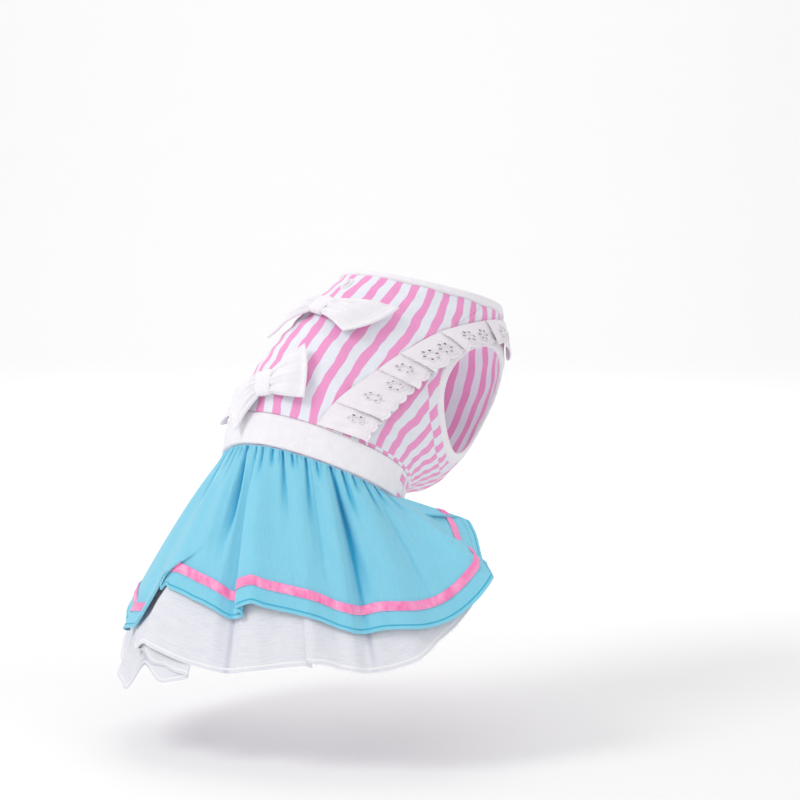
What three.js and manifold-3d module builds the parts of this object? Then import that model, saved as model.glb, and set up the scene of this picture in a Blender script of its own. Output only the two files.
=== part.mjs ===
// Dress for a small dog: striped bodice, lace ruffles, waistband, gathered skirt with petticoat, two bows.
// Millimetres. +Z is up, the wearer faces -Y, its right side is -X. The dress has its worn shape, the back
// leaning forward. The origin is on the centre back, at the top of the waistband, on the inner face.
import * as THREE from "three";
import { mergeVertices } from "three/addons/utils/BufferGeometryUtils.js";
import Module from "manifold-3d";

// Driving dimensions, mm
const BACK_LENGTH = 130; // centre back, waistband to neckline, along the chord
const BODY_HALF_WIDTH = 60; // half the width of the bodice at the waist
const CLOTH = 1.4; // wall of the bodice panels
const SEAM_GAP = 0.3; // clearance between neighbouring pieces
const WAISTBAND_WALL = 2.2;
const WAISTBAND_HEIGHT = 21;
const WAISTBAND_END = 97; // degrees round from the centre back
const STRIP_WIDTH = 8; // side strip beside each waistband end, degrees
const PIPING_WIDTH = 2.2; // degrees
const PIPING_WALL = 2.4;
const BELLY_PIPING_HEIGHT = 3;
const NECK_BINDING_WIDTH = 6;
const BINDING_WALL = 2.4;
const BINDING_INSIDE = 0.3; // part of the wall that lies within the inner face of the bodice
const ARMHOLE_FORWARD = 1.123; // armhole centre, forward of the origin, share of BACK_LENGTH
const ARMHOLE_UP = 0.008; // armhole centre, above the origin, share of BACK_LENGTH
const ARMHOLE_LENGTH = 84;
const ARMHOLE_HEIGHT = 70;
const ARMHOLE_BINDING_WIDTH = 7.5;
const FRONT_SEAM = 132; // side seam of the chest panel, degrees round
const SLOT_LENGTH = 8;
const SLOT_WIDTH = 1.6;
const SLOT_AT = 0.94; // share of the back length
const RIM_WIDTH = 2;
const RIM_HEIGHT = 1.2;
const LACE_WALL = 1;
const LACE_CLEARANCE = 0.45; // between the bodice and the ruffle's sewn edge
const LACE_STAND = 2.4; // how far the free edge stands off
const LACE_PLEAT = 3.4; // rise of each knife pleat
const LACE_PLEAT_LEAN = 0.04; // how far each pleat's fold runs up towards the free edge, share of the length
const LACE_SCALLOPS = 18;
const LACE_SCALLOP_DEPTH = 1.6;
const EYELET_LENGTH = 2.6;
const EYELET_WIDTH = 1.7;
const FLOWER_RADIUS = 4;
const SKIRT_LENGTH = 115;
const SKIRT_WALL = 1.2;
const GATHER_GAP = 0.6; // clearance between the waistband and the gathered edge
const SKIRT_END = 94; // degrees round from the centre back
const FOLD_TOP = 0.7; // depth of the folds at the waistband
const FOLD_DEPTH = 4.2; // depth of the folds below it
const GATHER_DEPTH = 1.1; // of the small gathers under the waistband
const GATHERS = 22; // across the half skirt
const RIBBON_WIDTH = 6.2;
const RIBBON_ABOVE_HEM = 15.5;
const RIBBON_WALL = 0.8;
const RIBBON_GAP = 0.8; // between the skirt and the ribbon
const RIBBON_END = 0.9545; // share of the half skirt
const PETTICOAT_WALL = 1;
const PETTICOAT_INSET = 4;
const PETTICOAT_END = 0.93; // share of the half skirt
const BOW_SPAN = 50;
const BOW_WALL = 2.2;
const BOW_PUFF = 4;
const BOW_CREASE = 1.2;
const BOW_TIP = 3; // how far the ends of the wings stand off
const BOW_LIFT = 2.4; // knot over the inner face of the bodice
const WING_LIFT = 3.8; // wings over the inner face of the bodice
const KNOT_WIDTH = 9;
const KNOT_HEIGHT = 15;
const KNOT_THICKNESS = 7;
// Each bow. at: share of the back length. side: mm right of the centre back. tilt: degrees, right side up.
// Its wings. tilt: of the end. lean: rise of the end over the wing's length, right wing up. end: height, mm.
// reach: share of half the span.
const UPPER_BOW = {
  at: 0.695,
  side: 4,
  tilt: -10,
  right: { tilt: -22, lean: 0.37, end: 34, reach: 1 },
  left: { tilt: 0, lean: 0.52, end: 34, reach: 1 },
};
const LOWER_BOW = {
  at: 0.172,
  side: 0,
  tilt: 15,
  right: { tilt: 20, lean: 0.27, end: 34, reach: 0.87 },
  left: { tilt: 20, lean: 0.38, end: 29, reach: 1 },
};

// Cross-sections of the body, from under the waistband to the neckline. at: share of the back length.
// Back line and belly line: forward and up, in shares of BACK_LENGTH. wide: share of BODY_HALF_WIDTH.
const SECTIONS = [
  { at: -0.4, backForward: -0.07, backUp: -0.33, bellyForward: 0.68, bellyUp: -0.8, wide: 1.0 },
  { at: -0.2, backForward: -0.04, backUp: -0.17, bellyForward: 0.7, bellyUp: -0.64, wide: 1.0 },
  { at: 0.0, backForward: 0.0, backUp: 0.0, bellyForward: 0.76, bellyUp: -0.47, wide: 1.01 },
  { at: 0.2, backForward: 0.06, backUp: 0.17, bellyForward: 0.92, bellyUp: -0.46, wide: 0.98 },
  { at: 0.4, backForward: 0.185, backUp: 0.315, bellyForward: 1.13, bellyUp: -0.45, wide: 0.94 },
  { at: 0.6, backForward: 0.33, backUp: 0.43, bellyForward: 1.39, bellyUp: -0.31, wide: 0.9 },
  { at: 0.8, backForward: 0.49, backUp: 0.525, bellyForward: 1.61, bellyUp: -0.03, wide: 0.88 },
  { at: 1.0, backForward: 0.66, backUp: 0.61, bellyForward: 1.66, bellyUp: 0.25, wide: 0.81 },
  { at: 1.1, backForward: 0.735, backUp: 0.65, bellyForward: 1.63, bellyUp: 0.4, wide: 0.77 },
];

// Seam between the back panel and the side panels, degrees round from the centre back.
const BACK_SEAM = [
  { at: 0.0, round: 36.5 },
  { at: 0.2, round: 44 },
  { at: 0.4, round: 50.5 },
  { at: 0.6, round: 56 },
  { at: 0.8, round: 65 },
  { at: 1.0, round: 84 },
  { at: 1.1, round: 94 },
];

// The lace ruffle, from the waistband over the shoulder to the chest. seam and edge: share of the back
// length, and degrees round from the centre back.
const RUFFLE = [
  { along: 0, seamAt: 0.05, seamRound: 38, edgeAt: 0.055, edgeRound: 65 },
  { along: 0.18, seamAt: 0.22, seamRound: 44.5, edgeAt: 0.21, edgeRound: 68.5 },
  { along: 0.36, seamAt: 0.42, seamRound: 51, edgeAt: 0.4, edgeRound: 70.5 },
  { along: 0.54, seamAt: 0.63, seamRound: 57, edgeAt: 0.585, edgeRound: 73 },
  { along: 0.68, seamAt: 0.8, seamRound: 66, edgeAt: 0.735, edgeRound: 79 },
  { along: 0.8, seamAt: 0.93, seamRound: 82, edgeAt: 0.84, edgeRound: 89 },
  { along: 0.9, seamAt: 1.01, seamRound: 104, edgeAt: 0.905, edgeRound: 108 },
  { along: 1, seamAt: 1.035, seamRound: 140, edgeAt: 0.91, edgeRound: 146 },
];

// The skirt by its hem. across: share of the waistband, -1 left end, 1 right end. heading: way the skirt
// falls outwards, degrees, 0 straight back, 90 to the right. reach, drop and more (the petticoat below the
// hem): shares of SKIRT_LENGTH.
const SKIRT = [
  { across: -1, heading: -90, reach: 0.03, drop: 0.07, more: 0.02 },
  { across: -0.975, heading: -130, reach: 0.32, drop: 0.16, more: 0.03 },
  { across: -0.94, heading: -130, reach: 0.48, drop: 0.35, more: 0.08 },
  { across: -0.88, heading: -112, reach: 0.55, drop: 0.58, more: 0.12 },
  { across: -0.78, heading: -90, reach: 0.56, drop: 0.76, more: 0.17 },
  { across: -0.6, heading: -50, reach: 0.56, drop: 0.95, more: 0.32 },
  { across: -0.45, heading: -33, reach: 0.53, drop: 0.96, more: 0.33 },
  { across: -0.38, heading: -25, reach: 0.52, drop: 0.93, more: 0.32 },
  { across: -0.3, heading: -16, reach: 0.44, drop: 0.77, more: 0.38 },
  { across: -0.18, heading: 0, reach: 0.4, drop: 0.84, more: 0.32 },
  { across: -0.07, heading: 14, reach: 0.38, drop: 0.9, more: 0.26 },
  { across: 0, heading: 26, reach: 0.36, drop: 0.87, more: 0.28 },
  { across: 0.06, heading: 36, reach: 0.36, drop: 0.81, more: 0.32 },
  { across: 0.17, heading: 46, reach: 0.37, drop: 0.8, more: 0.29 },
  { across: 0.33, heading: 54, reach: 0.385, drop: 0.815, more: 0.24 },
  { across: 0.48, heading: 64, reach: 0.4, drop: 0.86, more: 0.2 },
  { across: 0.6, heading: 74, reach: 0.425, drop: 0.8, more: 0.2 },
  { across: 0.72, heading: 86, reach: 0.485, drop: 0.75, more: 0.13 },
  { across: 0.84, heading: 97, reach: 0.53, drop: 0.64, more: 0.03 },
  { across: 0.92, heading: 112, reach: 0.58, drop: 0.47, more: -0.03 },
  { across: 0.932, heading: 117, reach: 0.53, drop: 0.42, more: -0.03 },
  { across: 0.945, heading: 125, reach: 0.5, drop: 0.34, more: -0.02 },
  { across: 0.965, heading: 136, reach: 0.46, drop: 0.2, more: 0 },
  { across: 0.985, heading: 136, reach: 0.36, drop: 0.11, more: 0.02 },
  { across: 1, heading: 90, reach: 0.03, drop: 0.07, more: 0.02 },
];

// Folds of the skirt. at: middle, share of the half skirt. out: height of a ridge, or depth of a valley if
// less than 0, share of FOLD_DEPTH. left and right: how far each flank runs. from and to: where it begins
// and where it has run out, shares of the way down.
const FOLDS = [
  { at: -0.9, out: 0.6, left: 0.05, right: 0.06, from: 0, to: 1.5 },
  { at: -0.79, out: -0.7, left: 0.05, right: 0.05, from: 0, to: 1.4 },
  { at: -0.7, out: 0.8, left: 0.05, right: 0.06, from: 0, to: 1.5 },
  { at: -0.6, out: -0.9, left: 0.05, right: 0.045, from: 0.1, to: 1.5 },
  { at: -0.5, out: 0.7, left: 0.07, right: 0.07, from: 0, to: 1.4 },
  { at: -0.395, out: -0.7, left: 0.035, right: 0.035, from: 0, to: 0.45 },
  { at: -0.3, out: 0.5, left: 0.06, right: 0.07, from: 0.3, to: 1.6 },
  { at: -0.2, out: 0.5, left: 0.07, right: 0.05, from: 0, to: 0.9 },
  { at: -0.12, out: -1.0, left: 0.035, right: 0.045, from: 0, to: 0.75 },
  { at: -0.04, out: -0.8, left: 0.06, right: 0.03, from: 0.1, to: 1.5 },
  { at: 0.01, out: 1.1, left: 0.03, right: 0.13, from: 0, to: 1.6 },
  { at: 0.21, out: -0.4, left: 0.05, right: 0.05, from: 0, to: 0.6 },
  { at: 0.3, out: 0.3, left: 0.07, right: 0.06, from: 0, to: 1.4 },
  { at: 0.385, out: -0.5, left: 0.05, right: 0.045, from: 0, to: 0.85 },
  { at: 0.47, out: 0.7, left: 0.07, right: 0.05, from: 0, to: 1.6 },
  { at: 0.535, out: -1.2, left: 0.035, right: 0.06, from: 0, to: 1.1 },
  { at: 0.61, out: -0.7, left: 0.025, right: 0.03, from: 0, to: 0.4 },
  { at: 0.67, out: 0.5, left: 0.08, right: 0.08, from: 0.1, to: 1.6 },
  { at: 0.78, out: -0.4, left: 0.06, right: 0.06, from: 0, to: 0.95 },
  { at: 0.93, out: 0.5, left: 0.05, right: 0.03, from: 0.3, to: 1.8 },
];

// Knife pleats of the lace: where each one's folded lower edge starts, share of the length.
const PLEATS = [{ from: 0 }, { from: 0.155 }, { from: 0.41 }, { from: 0.53 }, { from: 0.69 }, { from: 0.85 }];

// Eyelet flowers of the lace: place along the ruffle, and across it from the seam to the edge.
const FLOWERS = [
  { along: 0.1, across: 0.58 },
  { along: 0.27, across: 0.5 },
  { along: 0.375, across: 0.6 },
  { along: 0.48, across: 0.52 },
  { along: 0.625, across: 0.55 },
];
const FLOWER_EYELETS = 6;

// Colours, with roughness
const STRIPED = [0xeab4d4, 0.85];
const WHITE = [0xeeebf0, 0.85];
const LACE = [0xf2eff4, 0.8];
const SKY = [0x7ccde8, 0.75];
const SATIN = [0xff8fc6, 0.35];
const VOILE = [0xe9ecf1, 0.8];

const RAD = Math.PI / 180;
const lerp = (a, b, t) => a + (b - a) * t;

// A column of a table, read smoothly between its rows.
function column(table, by, name, at) {
  let i = 0;
  while (i < table.length - 2 && table[i + 1][by] < at) i++;
  const slope = (k) => {
    const a = table[Math.max(k - 1, 0)];
    const b = table[Math.min(k + 1, table.length - 1)];
    return (b[name] - a[name]) / (b[by] - a[by]);
  };
  const h = table[i + 1][by] - table[i][by];
  const t = (at - table[i][by]) / h;
  const t2 = t * t;
  const t3 = t2 * t;
  return (
    (2 * t3 - 3 * t2 + 1) * table[i][name] +
    (t3 - 2 * t2 + t) * h * slope(i) +
    (3 * t2 - 2 * t3) * table[i + 1][name] +
    (t3 - t2) * h * slope(i + 1)
  );
}

// A point of the inner face of the bodice. round: degrees, 0 centre back, 90 right side, 180 belly.
function body(at, round) {
  const share = (name) => column(SECTIONS, "at", name, at);
  const toBelly = (1 - Math.cos(round * RAD)) / 2;
  const forward = lerp(share("backForward"), share("bellyForward"), toBelly) * BACK_LENGTH;
  const up = lerp(share("backUp"), share("bellyUp"), toBelly) * BACK_LENGTH;
  const flat = Math.sin(round * RAD) - 0.05 * Math.sin(3 * round * RAD);
  return new THREE.Vector3(-share("wide") * BODY_HALF_WIDTH * flat, -forward, up);
}

// The outward normal of a surface of two parameters.
function normalOf(surface, u, v, step) {
  const du = surface(u + step, v).sub(surface(u - step, v));
  const dv = surface(u, v + step).sub(surface(u, v - step));
  return du.cross(dv).normalize();
}

const bodyNormal = (at, round) =>
  normalOf((r, a) => body(a / 100, r), round, at * 100, 0.5);
const onBody = (at, round, lift) => body(at, round).addScaledVector(bodyNormal(at, round), lift);
const MM_PER_AT = body(0.55, 0).distanceTo(body(0.45, 0)) * 10; // along the back
const MM_PER_DEGREE = body(0.4, 0.5).distanceTo(body(0.4, -0.5)); // round the back

// A closed wall over a grid. place(u, v, w) gives a point; w is 0 on the inner face and 1 on the outer.
function wall(nu, nv, loop, place) {
  const columns = loop ? nu : nu + 1;
  const points = [];
  for (let i = 0; i < columns; i++)
    for (let j = 0; j <= nv; j++)
      for (let w = 0; w < 2; w++) points.push(...place(i / nu, j / nv, w).toArray());
  const id = (i, j, w) => ((i % columns) * (nv + 1) + j) * 2 + w;
  const faces = [];
  const quad = (a, b, c, d) => faces.push(a, b, c, a, c, d);
  for (let i = 0; i < nu; i++)
    for (let j = 0; j < nv; j++) {
      quad(id(i, j, 1), id(i + 1, j, 1), id(i + 1, j + 1, 1), id(i, j + 1, 1));
      quad(id(i, j, 0), id(i, j + 1, 0), id(i + 1, j + 1, 0), id(i + 1, j, 0));
    }
  for (let i = 0; i < nu; i++) {
    quad(id(i, 0, 0), id(i + 1, 0, 0), id(i + 1, 0, 1), id(i, 0, 1));
    quad(id(i, nv, 1), id(i + 1, nv, 1), id(i + 1, nv, 0), id(i, nv, 0));
  }
  if (!loop)
    for (let j = 0; j < nv; j++) {
      quad(id(0, j, 1), id(0, j + 1, 1), id(0, j + 1, 0), id(0, j, 0));
      quad(id(nu, j, 0), id(nu, j + 1, 0), id(nu, j + 1, 1), id(nu, j, 1));
    }
  const geometry = new THREE.BufferGeometry();
  geometry.setAttribute("position", new THREE.Float32BufferAttribute(points, 3));
  geometry.setIndex(faces);
  return faceOut(geometry);
}

// Turns the faces of a closed geometry outwards.
function faceOut(geometry) {
  const p = geometry.getAttribute("position");
  const index = geometry.index.array;
  const a = new THREE.Vector3();
  const b = new THREE.Vector3();
  const c = new THREE.Vector3();
  let volume = 0;
  for (let i = 0; i < index.length; i += 3) {
    a.fromBufferAttribute(p, index[i]);
    b.fromBufferAttribute(p, index[i + 1]);
    c.fromBufferAttribute(p, index[i + 2]);
    volume += a.dot(b.cross(c));
  }
  if (volume < 0)
    for (let i = 0; i < index.length; i += 3) {
      const k = index[i];
      index[i] = index[i + 1];
      index[i + 1] = k;
    }
  return geometry;
}

const wasm = await Module();
wasm.setup();

function solid(geometry) {
  const bare = new THREE.BufferGeometry();
  bare.setAttribute("position", geometry.getAttribute("position"));
  bare.setIndex(geometry.index);
  const merged = mergeVertices(bare, 1e-4);
  return new wasm.Manifold(
    new wasm.Mesh({
      numProp: 3,
      vertProperties: new Float32Array(merged.getAttribute("position").array),
      triVerts: new Uint32Array(merged.index.array),
    }),
  );
}

function geometryOf(made) {
  const m = made.getMesh();
  const geometry = new THREE.BufferGeometry();
  geometry.setAttribute("position", new THREE.BufferAttribute(new Float32Array(m.vertProperties), 3));
  geometry.setIndex(new THREE.BufferAttribute(new Uint32Array(m.triVerts), 1));
  return geometry;
}

function cutAway(geometry, cutters) {
  const made = cutters.reduce((left, cutter) => left.subtract(solid(cutter)), solid(geometry));
  return geometryOf(made);
}

const dress = new THREE.Group();
dress.name = "dog_dress";

function piece(name, geometry, [color, roughness]) {
  const material = new THREE.MeshStandardMaterial({ color, roughness, metalness: 0 });
  const mesh = new THREE.Mesh(geometry, material);
  mesh.name = name;
  dress.add(mesh);
}

// The same geometry on the wearer's left side.
function mirrored(geometry) {
  const copy = geometry.clone();
  copy.scale(-1, 1, 1);
  return faceOut(copy);
}

// Heights of the edges, in shares of the back length
const gapAt = SEAM_GAP / MM_PER_AT;
const gapRound = SEAM_GAP / MM_PER_DEGREE;
const bandTop = 0.03;
const bandBottom = bandTop - WAISTBAND_HEIGHT / MM_PER_AT;
const bodiceBottom = bandTop + gapAt;
const neck = 1.1;
const bodiceTop = neck - NECK_BINDING_WIDTH / MM_PER_AT - gapAt;
const seamRound = (at) => column(BACK_SEAM, "at", "round", at);

// A panel of the bodice between two edges round the body.
function panel(nu, nv, from, to, bottom, top, thickness) {
  return wall(nu, nv, false, (u, v, w) => {
    const at = lerp(bottom, top, v);
    return onBody(at, lerp(from(at), to(at), u), w * thickness);
  });
}

const armholeForward = ARMHOLE_FORWARD * BACK_LENGTH;
const armholeUp = ARMHOLE_UP * BACK_LENGTH;

// A straight tube along X with the armhole's outline, wider by grow all round.
function armholeTube(grow) {
  const tube = new THREE.CylinderGeometry(1, 1, 1.7 * BODY_HALF_WIDTH, 32);
  tube.rotateZ(Math.PI / 2);
  tube.scale(1, ARMHOLE_LENGTH / 2 + grow, ARMHOLE_HEIGHT / 2 + grow);
  tube.translate(-BODY_HALF_WIDTH, -armholeForward, armholeUp);
  return faceOut(mergeVertices(stripped(tube), 1e-4));
}

function stripped(geometry) {
  const bare = new THREE.BufferGeometry();
  bare.setAttribute("position", geometry.getAttribute("position").clone());
  bare.setIndex(geometry.index.clone());
  return bare;
}

// The place on the body seen from the side at a distance forward and up.
function besideAt(forward, up) {
  const side = (at) => {
    const share = (name) => column(SECTIONS, "at", name, at) * BACK_LENGTH;
    const a = share("backForward");
    const b = share("backUp");
    return (share("bellyForward") - a) * (up - b) - (share("bellyUp") - b) * (forward - a);
  };
  let low = -0.4;
  let high = 1.1;
  for (let i = 0; i < 40; i++) {
    const mid = (low + high) / 2;
    if (side(mid) > 0) low = mid;
    else high = mid;
  }
  const at = (low + high) / 2;
  const a = column(SECTIONS, "at", "backForward", at) * BACK_LENGTH;
  const b = column(SECTIONS, "at", "bellyForward", at) * BACK_LENGTH;
  const toBelly = Math.min(Math.max((forward - a) / (b - a), 0), 1);
  return { at, round: Math.acos(1 - 2 * toBelly) / RAD };
}

// Bodice panels, with the armholes cut out
const cut = armholeTube(ARMHOLE_BINDING_WIDTH + SEAM_GAP);
const cutLeft = mirrored(cut);
const slotPlace = onBody(SLOT_AT, 0, 0);
const slotUp = body(SLOT_AT + 0.01, 0).sub(body(SLOT_AT - 0.01, 0)).normalize();
const slotTurn = new THREE.Matrix4().makeBasis(
  new THREE.Vector3(-1, 0, 0),
  slotUp,
  new THREE.Vector3(-1, 0, 0).cross(slotUp),
);
const slotCutter = mergeVertices(stripped(new THREE.BoxGeometry(SLOT_WIDTH, SLOT_LENGTH, 8 * CLOTH)), 1e-4);
slotCutter.applyMatrix4(slotTurn).translate(slotPlace.x, slotPlace.y, slotPlace.z);

const back = panel(
  14,
  8,
  (at) => -seamRound(at) + gapRound / 2,
  (at) => seamRound(at) - gapRound / 2,
  bodiceBottom,
  bodiceTop,
  CLOTH,
);
piece("bodice_back", cutAway(back, [faceOut(slotCutter), cut, cutLeft]), STRIPED);

const side = panel(
  8,
  8,
  (at) => seamRound(at) + gapRound / 2,
  () => FRONT_SEAM - gapRound / 2,
  bodiceBottom,
  bodiceTop,
  CLOTH,
);
const sideRight = cutAway(side, [cut]);
piece("bodice_side_right", sideRight, STRIPED);
piece("bodice_side_left", mirrored(sideRight), STRIPED);

const front = panel(
  10,
  8,
  () => FRONT_SEAM + gapRound / 2,
  () => 360 - FRONT_SEAM - gapRound / 2,
  bodiceBottom,
  bodiceTop,
  CLOTH,
);
piece("bodice_front", cutAway(front, [cut, cutLeft]), STRIPED);

// Waist: waistband, side strips with their piping, belly panel and its piping
const stripFrom = WAISTBAND_END + gapRound;
const stripTo = stripFrom + STRIP_WIDTH;
const pipingTo = stripTo + gapRound + PIPING_WIDTH;
const bellyFrom = pipingTo + 2 * gapRound;
const bellyTop = bandTop - BELLY_PIPING_HEIGHT / MM_PER_AT;
const round = (degrees) => () => degrees;

piece(
  "waistband",
  panel(24, 4, round(-WAISTBAND_END), round(WAISTBAND_END), bandBottom, bandTop, WAISTBAND_WALL),
  WHITE,
);
const strip = panel(2, 4, round(stripFrom), round(stripTo), bandBottom, bandTop, CLOTH);
piece("side_strip_right", strip, STRIPED);
piece("side_strip_left", mirrored(strip), STRIPED);
const piping = panel(1, 4, round(stripTo + gapRound), round(pipingTo), bandBottom, bandTop, PIPING_WALL);
piece("side_piping_right", piping, WHITE);
piece("side_piping_left", mirrored(piping), WHITE);
piece(
  "belly_panel",
  panel(10, 4, round(bellyFrom), round(360 - bellyFrom), bandBottom, bellyTop - gapAt, CLOTH),
  STRIPED,
);
piece(
  "belly_piping",
  panel(10, 2, round(bellyFrom), round(360 - bellyFrom), bellyTop, bandTop, PIPING_WALL),
  WHITE,
);

// Bindings round the neckline and the armholes
piece(
  "neck_binding",
  wall(32, 1, true, (u, v, w) =>
    onBody(lerp(bodiceTop + gapAt, neck, v), 360 * u, w * BINDING_WALL - BINDING_INSIDE),
  ),
  WHITE,
);
const armholeBinding = wall(28, 1, true, (u, v, w) => {
  const grow = v * ARMHOLE_BINDING_WIDTH;
  const forward = armholeForward + (ARMHOLE_LENGTH / 2 + grow) * Math.cos(2 * Math.PI * u);
  const up = armholeUp + (ARMHOLE_HEIGHT / 2 + grow) * Math.sin(2 * Math.PI * u);
  const spot = besideAt(forward, up);
  const point = body(spot.at, spot.round);
  return point.add(new THREE.Vector3(BINDING_INSIDE - w * BINDING_WALL, 0, 0));
});
piece("armhole_binding_right", armholeBinding, WHITE);
piece("armhole_binding_left", mirrored(armholeBinding), WHITE);

// Rim of the leash slot
const rim = wall(12, 1, true, (u, v, w) => {
  const a = 2 * Math.PI * u;
  const grow = SEAM_GAP + v * RIM_WIDTH;
  const x = (SLOT_WIDTH / 2 + grow) * Math.cos(a);
  const y = (SLOT_LENGTH / 2 + grow) * Math.sin(a);
  return onBody(SLOT_AT + y / MM_PER_AT, x / MM_PER_DEGREE, CLOTH + SEAM_GAP + w * RIM_HEIGHT);
});
piece("leash_slot_rim", rim, WHITE);

// Lace ruffle with knife pleats, scalloped edge and eyelets
const laceSpot = (along, name) =>
  body(column(RUFFLE, "along", name + "At", along), column(RUFFLE, "along", name + "Round", along));
const laceWidth = laceSpot(0.4, "seam").distanceTo(laceSpot(0.4, "edge"));
const laceLength = laceSpot(0.45, "seam").distanceTo(laceSpot(0.35, "seam")) * 10;
const pleatEnd = (i) => (i + 1 < PLEATS.length ? PLEATS[i + 1].from : 1);
const pleatLean = (along, across) => LACE_PLEAT_LEAN * across * Math.sin(Math.PI * along);

// A point of the ruffle in a pleat, at a share of the pleat from its folded edge.
function inPleat(i, share, across, w) {
  const straight = lerp(PLEATS[i].from, pleatEnd(i), share);
  const along = straight + pleatLean(straight, across);
  const row = (name) => column(RUFFLE, "along", name, along);
  const scallop = Math.abs(Math.sin(Math.PI * LACE_SCALLOPS * straight));
  const out = across * (1 - (LACE_SCALLOP_DEPTH / laceWidth) * (1 - scallop));
  const rise = share < 1 / 6 ? 6 * share : (1 - share) * 1.2;
  const lift = CLOTH + LACE_CLEARANCE + LACE_STAND * across + LACE_PLEAT * rise * (0.08 + 0.92 * across);
  const at = lerp(row("seamAt"), row("edgeAt"), out);
  const degrees = lerp(row("seamRound"), row("edgeRound"), out);
  return onBody(at, degrees, lift + w * LACE_WALL);
}
function lacePlace(along, across, w) {
  const straight = along - pleatLean(along, across);
  let i = PLEATS.length - 1;
  while (i > 0 && PLEATS[i].from > straight) i--;
  const share = (straight - PLEATS[i].from) / (pleatEnd(i) - PLEATS[i].from);
  return inPleat(i, Math.min(share, 1), across, w);
}
const lace = wall(6 * PLEATS.length, 2, false, (u, v, w) => {
  const i = Math.min(Math.floor(u * PLEATS.length + 1e-6), PLEATS.length - 1);
  return inPleat(i, u * PLEATS.length - i, v, w);
});
const eyelets = [];
for (const flower of FLOWERS)
  for (let k = 0; k < FLOWER_EYELETS; k++) {
    const turn = (2 * Math.PI * (k + 0.5)) / FLOWER_EYELETS;
    const along = flower.along + (FLOWER_RADIUS * Math.cos(turn)) / laceLength;
    const across = flower.across + (FLOWER_RADIUS * Math.sin(turn)) / laceWidth;
    const spot = lacePlace(along, across, 0.5);
    const up = lacePlace(along + 0.004, across, 0.5).sub(lacePlace(along - 0.004, across, 0.5)).normalize();
    const outward = lacePlace(along, across, 1).sub(lacePlace(along, across, 0)).normalize();
    const aside = new THREE.Vector3().crossVectors(up, outward).normalize();
    const normal = new THREE.Vector3().crossVectors(aside, up);
    const cutter = new THREE.CylinderGeometry(EYELET_WIDTH / 2, EYELET_WIDTH / 2, 5 * LACE_WALL, 5);
    cutter.rotateX(Math.PI / 2);
    cutter.scale(EYELET_LENGTH / EYELET_WIDTH, 1, 1);
    cutter.rotateZ(turn);
    cutter.applyMatrix4(new THREE.Matrix4().makeBasis(up, aside, normal));
    cutter.translate(spot.x, spot.y, spot.z);
    eyelets.push(faceOut(mergeVertices(stripped(cutter), 1e-4)));
  }
const ruffle = cutAway(lace, eyelets);
piece("lace_ruffle_right", ruffle, LACE);
piece("lace_ruffle_left", mirrored(ruffle), LACE);

// Skirt, ribbon and petticoat
const skirtTop = bandBottom - GATHER_GAP / MM_PER_AT;
function skirtBase(across, down) {
  const row = (name) => column(SKIRT, "across", name, Math.min(Math.max(across, -1), 1));
  const start = body(skirtTop, across * SKIRT_END);
  const heading = row("heading") * RAD;
  const reach = row("reach") * SKIRT_LENGTH * down * (1.15 - 0.15 * down);
  const drop = row("drop") * SKIRT_LENGTH * down;
  return start.add(new THREE.Vector3(-Math.sin(heading) * reach, Math.cos(heading) * reach, -drop));
}
const skirtNormal = (across, down) =>
  normalOf((d, a) => skirtBase(a, d), Math.max(down, 0.05), Math.min(Math.max(across, -0.998), 0.998), 0.002);
// 0 below a, 1 above b, smooth between.
function ramp(a, b, t) {
  const share = Math.min(Math.max((t - a) / (b - a), 0), 1);
  return share * share * (3 - 2 * share);
}

// Height of the folds, share of FOLD_DEPTH.
function foldOf(across, down) {
  let sum = 0;
  for (const fold of FOLDS) {
    const t = (across - fold.at) / (across < fold.at ? fold.left : fold.right);
    const lasts = ramp(fold.from - 0.25, fold.from + 0.05, down) * (1 - ramp(fold.to - 0.4, fold.to, down));
    if (Math.abs(t) < 1) sum += fold.out * lasts * Math.cos((t * Math.PI) / 2) ** 2;
  }
  return sum;
}
function skirtPlace(across, down, lift) {
  const fade = Math.min(1, (1 - Math.abs(across)) / 0.06);
  const depth = lerp(FOLD_TOP, FOLD_DEPTH, ramp(0, 0.3, down));
  const nearBand = ramp(0, 0.08, down) * (1 - ramp(0.1, 0.45, down));
  const gather = GATHER_DEPTH * nearBand * Math.sin(Math.PI * GATHERS * across);
  const fold = fade * (depth * foldOf(across, down) + gather);
  const gathered = Math.max(0, 1 - 5 * down); // the gathered edge stands square to the body
  const out = skirtNormal(across, down).lerp(bodyNormal(skirtTop, across * SKIRT_END), gathered).normalize();
  return skirtBase(across, down).addScaledVector(out, fold + lift);
}
const hemLength = (across) => {
  const row = (name) => column(SKIRT, "across", name, across);
  return Math.hypot(row("reach"), row("drop")) * SKIRT_LENGTH;
};
const moreShare = (across) => (column(SKIRT, "across", "more", across) * SKIRT_LENGTH) / hemLength(across);

piece(
  "skirt",
  wall(88, 5, false, (u, v, w) => skirtPlace(2 * u - 1, v, w * SKIRT_WALL)),
  SKY,
);
piece(
  "skirt_ribbon",
  wall(84, 1, false, (u, v, w) => {
    const across = lerp(-RIBBON_END, RIBBON_END, u);
    const middle = 1 - RIBBON_ABOVE_HEM / hemLength(across);
    const half = RIBBON_WIDTH / 2 / hemLength(across);
    return skirtPlace(across, middle + (2 * v - 1) * half, SKIRT_WALL + RIBBON_GAP + w * RIBBON_WALL);
  }),
  SATIN,
);
piece(
  "petticoat",
  wall(54, 5, false, (u, v, w) => {
    const across = lerp(-PETTICOAT_END, PETTICOAT_END, u);
    const down = v * (1 + moreShare(across));
    return skirtPlace(across, down, -PETTICOAT_INSET + w * PETTICOAT_WALL);
  }),
  VOILE,
);

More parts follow.
